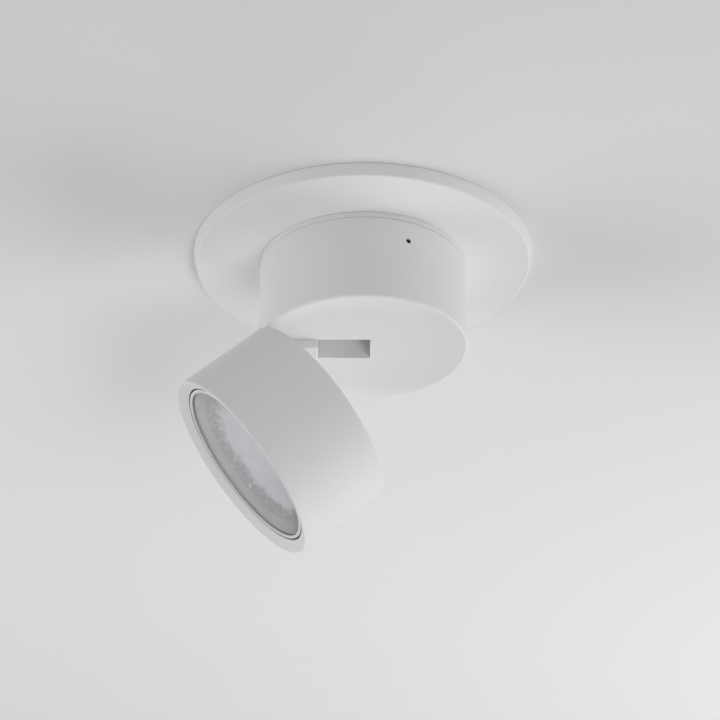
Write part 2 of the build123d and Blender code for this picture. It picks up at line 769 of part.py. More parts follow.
with BuildPart() as hinge_pins:
    ear_face = block_width / 2
    pin_end = tongue_width / 2 - pin_reach
    for side_sign in (-1, 1):
        outside = pin_line.offset(side_sign * ear_face)
        discs(outside, [(0, 0)], pin_head_radius, -side_sign * (pin_head - small_play))
        discs(outside, [(0, 0)], pin_radius - running_fit / 2, -side_sign * (ear_face - pin_end))
        with BuildSketch(outside) as pin_hex:
            RegularPolygon(pin_socket, 6)
        extrude(pin_hex.sketch, amount=-side_sign * pin_socket_depth, mode=Mode.SUBTRACT)
hinge_pins.part.label = "hinge_pins"
export_step(hinge_pins.part, "parts/hinge_pins.step")

with BuildPart() as friction_washers:
    for side_sign in (-1, 1):
        inner_face = pin_line.offset(side_sign * (fork_width / 2))
        discs(inner_face, [(0, 0)], ear_radius - washer_inset, -side_sign * washer_thickness)
    discs(pin_line.offset(-block_width), [(0, 0)], pin_radius + pin_play, 2 * block_width,
          mode=Mode.SUBTRACT)
friction_washers.part.label = "friction_washers"
export_step(friction_washers.part, "parts/friction_washers.step")

with BuildPart() as drum_lead:
    lead(lead_corners, lead_radius, lead_bend)
drum_lead.part.label = "drum_lead"
export_step(drum_lead.part, "parts/drum_lead.step")

driver_x = (-driver_half_x, driver_half_x)
driver_y = (driver_offset - driver_half_y, driver_offset + driver_half_y)

with BuildPart() as driver_case:
    driver_base = Plane.XY.offset(floor_top)
    case_height = driver_size[2] - driver_sheet
    block(driver_base, driver_x, driver_y, case_height)
    for spot in driver_spots:
        ear_span = (spot[0] - driver_ear / 2, spot[0] + driver_ear / 2)
        ear_y = (spot[1] - driver_ear / 2, spot[1] + driver_ear / 2)
        block(driver_base, ear_span, ear_y, driver_ear_height)
    inside_x = (driver_x[0] + driver_sheet, driver_x[1] - driver_sheet)
    inside_y = (driver_y[0] + driver_sheet, driver_y[1] - driver_sheet)
    block(driver_base.offset(driver_sheet), inside_x, inside_y, case_height, mode=Mode.SUBTRACT)
    discs(driver_base, driver_spots, m3_radius + screw_play, driver_ear_height, mode=Mode.SUBTRACT)
driver_case.part.label = "driver_case"
export_step(driver_case.part, "parts/driver_case.step")

with BuildPart() as driver_cover:
    block(Plane.XY.offset(floor_top + case_height), driver_x, driver_y, driver_sheet)
    block(Plane.XY.offset(floor_top + case_height),
          (inside_x[0] + small_play, inside_x[1] - small_play),
          (inside_y[0] + small_play, inside_y[1] - small_play), -cover_lap)
driver_cover.part.label = "driver_cover"
export_step(driver_cover.part, "parts/driver_cover.step")

with BuildPart() as driver_board:
    board_level = floor_top + driver_sheet + driver_board_rise
    board_x = (inside_x[0] + fit_play, inside_x[1] - fit_play)
    board_y = (inside_y[0] + fit_play, inside_y[1] - fit_play)
    block(Plane.XY.offset(board_level), board_x, board_y, board_thickness)
    post_xs = (board_x[0] + board_post_inset, board_x[1] - board_post_inset)
    post_ys = (board_y[0] + board_post_inset, board_y[1] - board_post_inset)
    post_spots = [(x, y) for x in post_xs for y in post_ys]
    discs(Plane.XY.offset(board_level), post_spots, board_post_radius, -driver_board_rise)
    capacitor_spots = [(board_x[1] - capacitor_inset, driver_offset + side * capacitor_offset)
                       for side in (-1, 1)]
    discs(Plane.XY.offset(board_level + board_thickness), capacitor_spots, capacitor_radius,
          capacitor_height)
driver_board.part.label = "driver_board"
export_step(driver_board.part, "parts/driver_board.step")

with BuildPart() as driver_transformer:
    core_half_x, core_half_y = transformer_size[0] / 2, transformer_size[1] / 2
    core_x = (transformer_x - core_half_x, transformer_x + core_half_x)
    core_y = (driver_offset - core_half_y, driver_offset + core_half_y)
    block(Plane.XY.offset(board_level + board_thickness), core_x, core_y, transformer_size[2])
    chamfer(driver_transformer.edges().filter_by(Axis.Z), length=transformer_chamfer)
driver_transformer.part.label = "driver_transformer"
export_step(driver_transformer.part, "parts/driver_transformer.step")

with BuildPart() as driver_screws:
    pan_screws(Plane.XY.offset(floor_top + driver_ear_height), driver_spots, m3_radius,
               m3_head_radius, m3_head_height, driver_ear_height + floor_screw_depth - small_play)
driver_screws.part.label = "driver_screws"
export_step(driver_screws.part, "parts/driver_screws.step")

with BuildPart() as stop_post:
    stop_top = pin_level + stop_pin_radius + stop_lap
    discs(Plane.XY.offset(floor_top), [stop_spot], stop_post_radius, stop_top - floor_top)
    discs(Plane.XY.offset(floor_top), [stop_spot], m3_radius, -(floor_screw_depth - small_play))
    chamfer(stop_post.edges().group_by(Axis.Z)[-1], length=stop_chamfer)
stop_post.part.label = "stop_post"
export_step(stop_post.part, "parts/stop_post.step")

with BuildPart() as driver_lead:
    driver_lead_z = driver_top - driver_lead_drop
    driver_lead_corners = [
        (0, 0, supply_split - split_gap / 2),
        (0, 0, driver_lead_z),
        (0, driver_y[0] - small_play, driver_lead_z),
    ]
    lead(driver_lead_corners, lead_radius, driver_lead_bend)
driver_lead.part.label = "driver_lead"
export_step(driver_lead.part, "parts/driver_lead.step")

# ---------------------------------------------------------------- head: tilts about the hinge

cradle_spots = polar(cradle_screw_circle, cradle_screw_angles)
back_spots = polar(back_screw_circle, back_screw_angles)
tongue_left = -math.sqrt((head_inner_radius - small_play) ** 2 - (tongue_width / 2) ** 2)

with BuildPart() as head_shell:
    head_outline = [
        (head_inner_radius, 0),
        (head_radius, 0),
        (head_radius, head_length),
        (head_radius - face_land, head_length),
        (aperture_radius, rim_face),
        (aperture_radius, lip_back),
        (head_inner_radius, lip_back),
    ]
    turned(head_outline, head_section, head_axis)
    outer_rims = head_shell.edges().filter_by(GeomType.CIRCLE).filter_by(
        lambda edge: abs(edge.radius - head_radius) < nearly
    )
    fillet(outer_rims, radius=head_edge_round)
    with BuildSketch(head_frame.offset(lip_back)) as cradle_bosses:
        with Locations(*cradle_spots):
            Circle(cradle_boss_radius)
        Circle(head_inner_radius + boss_root, mode=Mode.INTERSECT)
    extrude(cradle_bosses.sketch, amount=-cradle_boss_length)
    with BuildSketch(head_frame.offset(back_thickness)) as back_bosses:
        with Locations(*polar(back_boss_circle, back_screw_angles)):
            Circle(back_boss_radius)
        Circle(head_inner_radius + boss_root, mode=Mode.INTERSECT)
    extrude(back_bosses.sketch, amount=back_boss_length)
    discs(head_frame.offset(cradle_front), cradle_spots, m2_radius + running_fit,
          cradle_screw_depth + screw_end, mode=Mode.SUBTRACT)
    discs(head_frame.offset(back_thickness), back_spots, m3_radius + running_fit,
          back_screw_depth + screw_end, mode=Mode.SUBTRACT)
head_shell.part.label = "head_shell"
export_step(head_shell.part, "parts/head_shell.step")

with BuildPart() as head_back:
    plate_edge = head_inner_radius - small_play
    discs(head_frame, [(0, 0)], plate_edge, back_thickness)
    cup_x = (pocket_near - pocket_skin, pocket_far + pocket_skin)
    cup_half = pocket_half + pocket_skin
    block(head_frame, cup_x, (-cup_half, cup_half), pocket_depth + pocket_skin)
    block(head_frame, (pocket_near, pocket_far), (-pocket_half, pocket_half), pocket_depth,
          mode=Mode.SUBTRACT)
    block(head_frame, (-head_radius - 1, tongue_foot_end + fit_play),
          (-tongue_width / 2 - fit_play, tongue_width / 2 + fit_play), back_thickness,
          mode=Mode.SUBTRACT)
    back_face = Plane(origin=head_origin, x_dir=head_across, z_dir=-head_forward)
    tongue_spots = [(tongue_foot_end - tongue_screw_inset, side * tongue_screw_half)
                    for side in (-1, 1)]
    countersinks(back_face, back_spots, m3_radius, m3_head_radius, back_thickness)
    countersinks(back_face, tongue_spots, m3_radius, m3_head_radius, back_thickness)
head_back.part.label = "head_back"
export_step(head_back.part, "parts/head_back.step")

with BuildPart() as back_screws:
    sunk_screws(back_face, back_spots, m3_radius, m3_head_radius, back_thickness + back_screw_depth)
back_screws.part.label = "back_screws"
export_step(back_screws.part, "parts/back_screws.step")

with BuildPart() as hinge_tongue:
    boss_centre = (-hinge_reach, -hinge_drop)
    with BuildSketch(head_section) as tongue_side:
        with BuildLine():
            Polyline(
                (-hinge_reach - ear_radius, -hinge_drop),
                (-hinge_reach + ear_radius, -hinge_drop),
                (tongue_foot_end, -tongue_neck),
                (tongue_foot_end, back_thickness + tongue_flange),
                (tongue_left, back_thickness + tongue_flange),
                (tongue_left, -tongue_neck),
                close=True,
            )
        make_face()
        with Locations(boss_centre):
            Circle(ear_radius)
    extrude(tongue_side.sketch, amount=tongue_width / 2, both=True)
    inner_flange = head_frame.offset(back_thickness)
    flange_left = -math.sqrt((head_inner_radius - small_play) ** 2 - tongue_flange_half**2)
    block(inner_flange, (flange_left, tongue_foot_end - tongue_flange_inset),
          (-tongue_flange_half, tongue_flange_half), tongue_flange)
    discs(inner_flange, tongue_spots, m3_radius + running_fit, tongue_flange, mode=Mode.SUBTRACT)
    discs(pin_line.offset(-block_width), [(0, 0)], pin_radius + pin_play, 2 * block_width,
          mode=Mode.SUBTRACT)
    channel_half = tongue_width / 2 - pin_reach - channel_skin
    with BuildSketch(head_section) as channel:
        with Locations(boss_centre):
            Circle(ear_radius + 1)
        with Locations((-hinge_reach - ear_radius - 1, -hinge_drop)):
            Rectangle(2 * ear_radius - 2, 4 * ear_radius, mode=Mode.SUBTRACT)
    extrude(channel.sketch, amount=channel_half, both=True, mode=Mode.SUBTRACT)
    discs(head_frame.offset(-hinge_drop), [(-lead_line, 0)], lead_radius + lead_room,
          hinge_drop + back_thickness + tongue_flange, mode=Mode.SUBTRACT)
hinge_tongue.part.label = "hinge_tongue"
export_step(hinge_tongue.part, "parts/hinge_tongue.step")

with BuildPart() as tongue_screws:
    sunk_screws(back_face, tongue_spots, m3_radius, m3_head_radius,
                back_thickness + tongue_flange - small_play)
tongue_screws.part.label = "tongue_screws"
export_step(tongue_screws.part, "parts/tongue_screws.step")

with BuildPart() as lamp_cradle:
    with BuildSketch(head_frame.offset(cradle_back)) as cradle_ring:
        Circle(head_inner_radius - fit_play)
        Circle(cradle_hole_radius, mode=Mode.SUBTRACT)
        with Locations(*cradle_spots):
            Circle(m2_radius + screw_play, mode=Mode.SUBTRACT)
    extrude(cradle_ring.sketch, amount=cradle_thickness)
lamp_cradle.part.label = "lamp_cradle"
export_step(lamp_cradle.part, "parts/lamp_cradle.step")

with BuildPart() as cradle_screws:
    cradle_under = Plane(origin=head_origin + head_forward * cradle_back, x_dir=head_across,
                         z_dir=-head_forward)
    mirrored_spots = [(x, -y) for x, y in cradle_spots]
    pan_screws(cradle_under, mirrored_spots, m2_radius, m2_head_radius, m2_head_height,
               cradle_thickness + cradle_screw_depth)
cradle_screws.part.label = "cradle_screws"
export_step(cradle_screws.part, "parts/cradle_screws.step")

with BuildPart() as lamp_springs:
    blade_inside = lamp_radius + spring_play
    foot_end = head_inner_radius - spring_foot_inset
    spring_base = head_frame.offset(cradle_front)
    for reach, height in ((foot_end - blade_inside, spring_sheet),
                          (spring_sheet, spring_height)):
        with BuildSketch(spring_base) as strips:
            with PolarLocations(0, spring_count):
                with Locations((blade_inside + reach / 2, 0)):
                    Rectangle(reach, spring_width)
        extrude(strips.sketch, amount=height)
lamp_springs.part.label = "lamp_springs"
export_step(lamp_springs.part, "parts/lamp_springs.step")

with BuildPart() as lamp_housing:
    drum_back = cradle_front + small_play
    cone_mouth = fin_tip_radius - fin_stand
    housing_outline = [
        (0, housing_back),
        (housing_back_radius, housing_back),
        (cone_mouth, drum_back),
        (lamp_radius, drum_back),
        (lamp_radius, rim_back),
        (lamp_radius - lamp_shell, rim_back),
        (lamp_radius - lamp_shell, drum_back + lamp_shell),
        (cone_mouth - cone_wall, drum_back + lamp_shell),
        (board_radius + board_seat_play, slug_front),
        (0, slug_front),
    ]
    turned(housing_outline, head_section, head_axis)
    fin_root = housing_back_radius - fin_sink
    with BuildSketch(head_frame.offset(housing_back)) as fins:
        with PolarLocations(0, fin_count):
            with Locations(((fin_root + fin_tip_radius) / 2, 0)):
                Rectangle(fin_tip_radius - fin_root, fin_thickness)
    extrude(fins.sketch, amount=drum_back - housing_back)
    fin_cut = [
        (0, slug_front),
        (board_radius + board_seat_play, slug_front),
        (cone_mouth - cone_wall, drum_back + lamp_shell),
        (0, drum_back + lamp_shell),
    ]
    turned(fin_cut, head_section, head_axis, mode=Mode.SUBTRACT)
lamp_housing.part.label = "lamp_housing"
export_step(lamp_housing.part, "parts/lamp_housing.step")

with BuildPart() as lamp_rim:
    seat_radius = lens_radius + small_play
    seat_face = lens_front + running_fit
    rim_outline = [
        (seat_radius, rim_back),
        (lamp_radius, rim_back),
        (lamp_radius, rim_face),
        (lip_radius, rim_face),
        (lip_radius, seat_face),
        (seat_radius, seat_face),
    ]
    turned(rim_outline, head_section, head_axis)
    rim_front = lamp_rim.edges().filter_by(GeomType.CIRCLE).sort_by(
        Axis(head_origin, head_forward)
    )[-2:]
    fillet(rim_front, radius=lamp_rim_round)
lamp_rim.part.label = "lamp_rim"
export_step(lamp_rim.part, "parts/lamp_rim.step")

with BuildPart() as lamp_lens:
    discs(head_frame.offset(lens_back), [(0, 0)], lens_radius, lens_thickness)
    lens_front_edge = lamp_lens.edges().sort_by(Axis(head_origin, head_forward))[-1]
    chamfer(lens_front_edge, length=lens_chamfer)
lamp_lens.part.label = "lamp_lens"
export_step(lamp_lens.part, "parts/lamp_lens.step")

with BuildPart() as lamp_reflector:
    throat_face = board_front + emitter_height + throat_gap
    bowl_depth = reflector_front - throat_face
    bowl_growth = (reflector_radius**2 - reflector_throat**2) / bowl_depth
    bowl_steps = 8
    bowl_heights = [bowl_depth * step / bowl_steps for step in range(bowl_steps + 1)]
    outer_points = [(math.sqrt(reflector_throat**2 + bowl_growth * height), throat_face + height)
                    for height in bowl_heights]
    inner_points = [(radius - reflector_sheet, level) for radius, level in outer_points]
    with BuildSketch(head_section) as bowl:
        with BuildLine():
            outer_curve = Spline(*outer_points)
            inner_curve = Spline(*inner_points)
            Line(outer_curve @ 0, inner_curve @ 0)
            Line(outer_curve @ 1, inner_curve @ 1)
        make_face()
    revolve(bowl.sketch, axis=head_axis)
lamp_reflector.part.label = "lamp_reflector"
export_step(lamp_reflector.part, "parts/lamp_reflector.step")

board_hole_spots = polar(board_hole_circle, board_hole_angles)

with BuildPart() as led_board:
    discs(head_frame.offset(slug_front), [(0, 0)], board_radius, board_thickness)
    discs(head_frame.offset(slug_front), board_hole_spots, board_hole_radius,
          board_thickness, mode=Mode.SUBTRACT)
led_board.part.label = "led_board"
export_step(led_board.part, "parts/led_board.step")

with BuildPart() as led_emitter:
    discs(head_frame.offset(board_front), [(0, 0)], emitter_radius, emitter_height)
led_emitter.part.label = "led_emitter"
export_step(led_emitter.part, "parts/led_emitter.step")

contact_spots = [(-contact_spacing / 2, 0), (contact_spacing / 2, 0)]
base_back = housing_back - lamp_base_height

with BuildPart() as lamp_base:
    discs(head_frame.offset(base_back), [(0, 0)], lamp_base_radius, lamp_base_height)
    chamfer(lamp_base.edges().sort_by(Axis(head_origin, head_forward))[0], length=lamp_base_chamfer)
lamp_base.part.label = "lamp_base"
export_step(lamp_base.part, "parts/lamp_base.step")

with BuildPart() as lamp_contacts:
    with BuildSketch(head_frame.offset(contact_back)) as blades:
        with Locations(*contact_spots):
            Rectangle(contact_width, contact_thickness)
    extrude(blades.sketch, amount=contact_length)
lamp_contacts.part.label = "lamp_contacts"
export_step(lamp_contacts.part, "parts/lamp_contacts.step")

with BuildPart() as contact_holder:
    holder_back = contact_back - holder_skin
    block(head_frame.offset(holder_back), (-holder_size[0] / 2, holder_size[0] / 2),
          (-holder_size[1] / 2, holder_size[1] / 2), holder_size[2])
    with BuildSketch(head_frame.offset(contact_back)) as slits:
        with Locations(*contact_spots):
            Rectangle(contact_width + 2 * small_play, contact_thickness + 2 * small_play)
    extrude(slits.sketch, amount=holder_size[2], mode=Mode.SUBTRACT)
contact_holder.part.label = "contact_holder"
export_step(contact_holder.part, "parts/contact_holder.step")

with BuildPart() as head_lead:
    lead_depth = holder_back + holder_size[2] / 2
    head_lead_route = [
        (-lead_line, 0, lead_start - hinge_drop),
        (-lead_line, 0, lead_depth),
        (-holder_size[0] / 2 - small_play, 0, lead_depth),
    ]
    head_lead_corners = [head_frame.from_local_coords(point) for point in head_lead_route]
    lead(head_lead_corners, lead_radius, lead_bend)
head_lead.part.label = "head_lead"
export_step(head_lead.part, "parts/head_lead.step")
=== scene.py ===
"""Looks of a surface mounted ceiling spotlight: its finishes, the emitter's dies, studio and camera."""

import json
import logging
import math
from dataclasses import dataclass
from enum import Enum

import bpy
from mathutils import Matrix, Vector

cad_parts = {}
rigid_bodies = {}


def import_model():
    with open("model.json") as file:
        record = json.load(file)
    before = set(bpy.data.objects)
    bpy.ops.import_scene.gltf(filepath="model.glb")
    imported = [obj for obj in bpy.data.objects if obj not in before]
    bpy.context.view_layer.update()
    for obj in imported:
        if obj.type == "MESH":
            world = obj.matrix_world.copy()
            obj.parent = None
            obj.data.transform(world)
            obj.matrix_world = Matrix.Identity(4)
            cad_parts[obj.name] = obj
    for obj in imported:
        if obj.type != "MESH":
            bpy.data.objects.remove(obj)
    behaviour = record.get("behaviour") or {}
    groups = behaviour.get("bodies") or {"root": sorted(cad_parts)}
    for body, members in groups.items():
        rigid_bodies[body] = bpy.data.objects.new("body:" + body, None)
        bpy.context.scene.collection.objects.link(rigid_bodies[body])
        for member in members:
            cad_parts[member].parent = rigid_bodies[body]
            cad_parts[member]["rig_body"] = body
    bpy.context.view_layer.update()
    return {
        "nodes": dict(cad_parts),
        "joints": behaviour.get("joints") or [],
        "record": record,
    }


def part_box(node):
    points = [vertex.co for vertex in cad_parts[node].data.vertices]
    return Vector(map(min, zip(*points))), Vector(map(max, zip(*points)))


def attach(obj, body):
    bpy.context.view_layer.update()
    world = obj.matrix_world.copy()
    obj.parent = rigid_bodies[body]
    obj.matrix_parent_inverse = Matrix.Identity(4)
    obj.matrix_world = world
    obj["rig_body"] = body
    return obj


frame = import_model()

logging.basicConfig(level=logging.INFO, format="%(name)s: %(message)s")
log = logging.getLogger("spotlight")

MM = 0.001
Tree = bpy.types.NodeTree
Node = bpy.types.Node
Socket = bpy.types.NodeSocket
Colour = tuple[float, float, float]


# ---------------------------------------------------------------- places taken from the frame

@dataclass(frozen=True)
class HeadPlace:
    """Where the lamp head's axis runs.

    Attributes:
        lean: angle of the axis from straight down, in radians.
        emitter: middle of the emitter, in metres.
        bowl_depth: from the emitter forward to the reflector's front edge, in metres.
    """

    lean: float
    emitter: Vector
    bowl_depth: float

    @classmethod
    def from_frame(cls) -> "HeadPlace":
        """Reads the lean off the tilt joint, which reaches straight down at its lower limit.

        Returns:
            The place of the head in the frame's rest pose.
        """
        tilt = next(joint for joint in frame["joints"] if joint["name"] == "tilt")
        lean = math.radians(-tilt["range_deg"][0])
        emitter = cls._middle("led_emitter")
        forward = Vector((-math.sin(lean), 0.0, -math.cos(lean)))
        vertices = frame["nodes"]["lamp_reflector"].data.vertices
        reach = max((vertex.co - emitter).dot(forward) for vertex in vertices)
        return cls(lean=lean, emitter=emitter, bowl_depth=reach)

    @staticmethod
    def _middle(node: str) -> Vector:
        """Gives the middle of a node's box."""
        low, high = (Vector(corner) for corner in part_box(node))
        return (low + high) / 2

    @property
    def turn(self) -> float:
        """Turn about Y that brings +Z onto the head's forward axis, in radians."""
        return math.pi + self.lean

    @property
    def matrix(self) -> Matrix:
        """Matrix of a frame on the emitter with +Z along the head's forward axis."""
        return Matrix.Translation(self.emitter) @ Matrix.Rotation(self.turn, 4, "Y")


# ---------------------------------------------------------------- node trees

class Graph:
    """Adds nodes to one node tree and joins them.

    Attributes:
        MIX_COLOURS: numbers of a Mix node's two colour inputs.
        MIX_COLOUR_OUT: number of its colour output.
    """

    MIX_COLOURS = (6, 7)
    MIX_COLOUR_OUT = 2

    def __init__(self, tree: Tree) -> None:
        """Keeps the tree.

        Args:
            tree: the node tree of a material, world or group.
        """
        self.tree = tree

    def add(self, kind: str, inputs: dict | None = None, **properties) -> Node:
        """Adds one node.

        Args:
            kind: the node's type name.
            inputs: a value or a socket for each input, by name or number.
            **properties: settings of the node itself.

        Returns:
            The new node.
        """
        node = self.tree.nodes.new(kind)
        for name, value in properties.items():
            setattr(node, name, value)
        for key, value in (inputs or {}).items():
            if isinstance(value, Socket):
                self.tree.links.new(value, node.inputs[key])
            else:
                node.inputs[key].default_value = value
        return node

    def math(self, operation: str, *values: float | Socket, clamp: bool = False) -> Socket:
        """Adds a Math node.

        Args:
            operation: the node's operation.
            *values: its inputs in order.
            clamp: whether its result is kept from 0 to 1.

        Returns:
            The result's socket.
        """
        inputs = dict(enumerate(values))
        return self.add("ShaderNodeMath", inputs, operation=operation, use_clamp=clamp).outputs[0]

    def blend(self, share: float | Socket, first: tuple | Socket, second: tuple | Socket) -> Socket:
        """Mixes two colours.

        Args:
            share: how much of the second colour shows.
            first: colour at share 0.
            second: colour at share 1.

        Returns:
            The mixed colour's socket.
        """
        inputs = {"Factor": share, **dict(zip(self.MIX_COLOURS, (opaque(first), opaque(second))))}
        return self.add("ShaderNodeMix", inputs, data_type="RGBA").outputs[self.MIX_COLOUR_OUT]

    def use(self, group: Tree, inputs: dict | None = None) -> Node:
        """Adds a shared node group.

        Args:
            group: the group's tree.
            inputs: a value or a socket for each of its inputs, by name.

        Returns:
            The group node.
        """
        return self.add("ShaderNodeGroup", inputs, node_tree=group)

    def noise(self, inputs: dict, **properties) -> Socket:
        """Adds a Noise Texture.

        Args:
            inputs: a value or a socket for each input, by name.
            **properties: settings of the node itself.

        Returns:
            The socket of its value, which lies around one half.
        """
        return self.add("ShaderNodeTexNoise", inputs, **properties).outputs["Fac"]

    def ramp(self, value: Socket, start: float, stop: float) -> Socket:
        """Adds a Map Range node.

        Args:
            value: what is mapped.
            start: the value that gives 0.
            stop: the value that gives 1.

        Returns:
            The result's socket, from 0 to 1.
        """
        inputs = {"Value": value, "From Min": start, "From Max": stop}
        return self.add("ShaderNodeMapRange", inputs).outputs["Result"]

    def bump(self, depth: float | Socket, height: Socket, normal: Socket | None = None) -> Socket:
        """Adds a Bump node.

        Args:
            depth: depth of the form, in metres.
            height: its height, from 0 to 1.
            normal: the normal that it lies on, or None for the mesh's own.

        Returns:
            The normal's socket.
        """
        inputs = {"Distance": depth, "Height": height}
        if normal is not None:
            inputs["Normal"] = normal
        return self.add("ShaderNodeBump", inputs).outputs["Normal"]

    def split(self, vector: Socket) -> tuple[Socket, ...]:
        """Gives the three parts of a vector."""
        return tuple(self.add("ShaderNodeSeparateXYZ", {0: vector}).outputs)


def opaque(colour: tuple | Socket) -> tuple | Socket:
    """Gives a plain colour its alpha.

    Args:
        colour: three numbers, or a socket, which is returned as it is.

    Returns:
        Four numbers, or the socket.
    """
    return colour if isinstance(colour, Socket) else (*colour, 1.0)


class Kind(Enum):
    """Types of a group's sockets."""

    VALUE = "NodeSocketFloat"
    VECTOR = "NodeSocketVector"


class Effects:
    """The node groups that the finishes share. Each gives only masks, values and normals.

    Attributes:
        PATCH_RANGE: noise values at which a soft patch is 0 and 1.
        BRUSH_STRETCH: how the vector is stretched along brushed lines.
        TRACK_RANGE: cell distances at which a board's track is 0 and 1.
        TRACK_STEP: height of a track, in metres.
        TAPE_SLANT: how far the turns of tape lean.
        EDGE_SAMPLES: samples that ease the edges.
        EDGE_RANGE: cosines between eased and flat normal at which an edge is 0 and 1.
        HAIRLINE_WAYS: stretch and turn of the vector for each direction of hairlines.
        HAIRLINE_TILT: turn about Y for both directions, in radians.
        HAIRLINE_REACH: how far from the noise's middle a hairline reaches.
        HAIRLINE_AREA_SCALE: scale of the areas with hairlines, as a share of their own.
        HAIRLINE_AREA_RANGE: noise values at which such an area is 0 and 1.
        BAND_ENDS: for each band of a bowl, the share of the waver at its end and half its blur, in metres.
        STREAK_SLOPE: how fast the streaks of painted highlight change with depth, per metre.
        STREAK_RANGE: noise values at which a streak of painted highlight is 0 and 1.
    """

    PATCH_RANGE = (0.3, 0.7)
    BRUSH_STRETCH = (1.0, 0.03, 1.0)
    TRACK_RANGE = (0.44, 0.5)
    TRACK_STEP = 0.03 * MM
    TAPE_SLANT = 0.12
    EDGE_SAMPLES = 6
    EDGE_RANGE = (0.99, 0.8)
    HAIRLINE_WAYS = (((1.0, 0.06, 1.0), 0.5), ((0.05, 1.0, 1.0), 1.9))
    HAIRLINE_TILT = 0.3
    HAIRLINE_REACH = 0.006
    HAIRLINE_AREA_SCALE = 0.4
    HAIRLINE_AREA_RANGE = (0.52, 0.66)
    BAND_ENDS = {"Collar": (0.12, 0.3 * MM), "Dark": (1.4, 1.6 * MM)}
    STREAK_SLOPE = 60.0
    STREAK_RANGE = (0.56, 0.7)

    def __init__(self) -> None:
        """Builds every group once."""
        self.grain = self._grain()
        self.patches = self._patches()
        self.brushing = self._brushing()
        self.turning = self._turning()
        self.flutes = self._flutes()
        self.tracks = self._tracks()
        self.winding = self._winding()
        self.edges = self._edges()
        self.scratches = self._scratches()
        self.zones = self._zones()

    @staticmethod
    def _open(name: str, takes: dict[str, Kind], gives: dict[str, Kind]) -> tuple[Graph, dict, Node]:
        """Starts a group.

        Args:
            name: the group's name.
            takes: its inputs.
            gives: its outputs.

        Returns:
            The group's graph, its input sockets by name and its output node.
        """
        tree = bpy.data.node_groups.new(name, "ShaderNodeTree")
        for label, kind in takes.items():
            tree.interface.new_socket(name=label, in_out="INPUT", socket_type=kind.value)
        for label, kind in gives.items():
            tree.interface.new_socket(name=label, in_out="OUTPUT", socket_type=kind.value)
        graph = Graph(tree)
        start = graph.add("NodeGroupInput")
        end = graph.add("NodeGroupOutput")
        return graph, {label: start.outputs[label] for label in takes}, end

    @staticmethod
    def _close(graph: Graph, end: Node, results: dict[str, Socket]) -> Tree:
        """Ends a group.

        Args:
            graph: the group's graph.
            end: its output node.
            results: a socket for each output, by name.

        Returns:
            The group's tree.
        """
        for label, socket in results.items():
            graph.tree.links.new(socket, end.inputs[label])
        return graph.tree

    def _grain(self) -> Tree:
        """Fine bumps of a given size and depth, in metres, such as a powder coat's peel."""
        takes = {"Vector": Kind.VECTOR, "Size": Kind.VALUE, "Depth": Kind.VALUE, "Normal": Kind.VECTOR}
        graph, given, end = self._open("fine_grain", takes, {"Normal": Kind.VECTOR})
        scale = graph.math("DIVIDE", 1.0, given["Size"])
        bumps = graph.noise({"Vector": given["Vector"], "Scale": scale, "Detail": 2.0})
        normal = graph.bump(given["Depth"], bumps, given["Normal"])
        return self._close(graph, end, {"Normal": normal})

    def _patches(self) -> Tree:
        """Soft patches of handling and dust, about 0 to 1 and around one half."""
        takes = {"Vector": Kind.VECTOR, "Size": Kind.VALUE}
        graph, given, end = self._open("soft_patches", takes, {"Factor": Kind.VALUE})
        scale = graph.math("DIVIDE", 1.0, given["Size"])
        inputs = {"Vector": given["Vector"], "Scale": scale, "Detail": 5.0, "Roughness": 0.62}
        return self._close(graph, end, {"Factor": graph.ramp(graph.noise(inputs), *self.PATCH_RANGE)})

    def _brushing(self) -> Tree:
        """Fine parallel lines along Y of the vector, as on drawn or brushed metal."""
        takes = {"Vector": Kind.VECTOR, "Pitch": Kind.VALUE, "Depth": Kind.VALUE, "Normal": Kind.VECTOR}
        graph, given, end = self._open("brushing", takes, {"Normal": Kind.VECTOR, "Factor": Kind.VALUE})
        inputs = {0: given["Vector"], 1: self.BRUSH_STRETCH}
        stretched = graph.add("ShaderNodeVectorMath", inputs, operation="MULTIPLY").outputs[0]
        scale = graph.math("DIVIDE", 1.0, given["Pitch"])
        lines = graph.noise({"Vector": stretched, "Scale": scale, "Detail": 3.0})
        normal = graph.bump(given["Depth"], lines, given["Normal"])
        return self._close(graph, end, {"Normal": normal, "Factor": lines})

    def _turning(self) -> Tree:
        """Concentric tool marks about Z of the vector."""
        takes = {"Vector": Kind.VECTOR, "Pitch": Kind.VALUE, "Depth": Kind.VALUE, "Normal": Kind.VECTOR}
        graph, given, end = self._open("turning_marks", takes, {"Normal": Kind.VECTOR, "Factor": Kind.VALUE})
        x, y, _ = graph.split(given["Vector"])
        squared = graph.math("ADD", graph.math("MULTIPLY", x, x), graph.math("MULTIPLY", y, y))
        rings = graph.math("DIVIDE", graph.math("SQRT", squared), given["Pitch"])
        marks = graph.noise({"W": rings, "Scale": 1.0, "Detail": 3.0}, noise_dimensions="1D")
        normal = graph.bump(given["Depth"], marks, given["Normal"])
        return self._close(graph, end, {"Normal": normal, "Factor": marks})

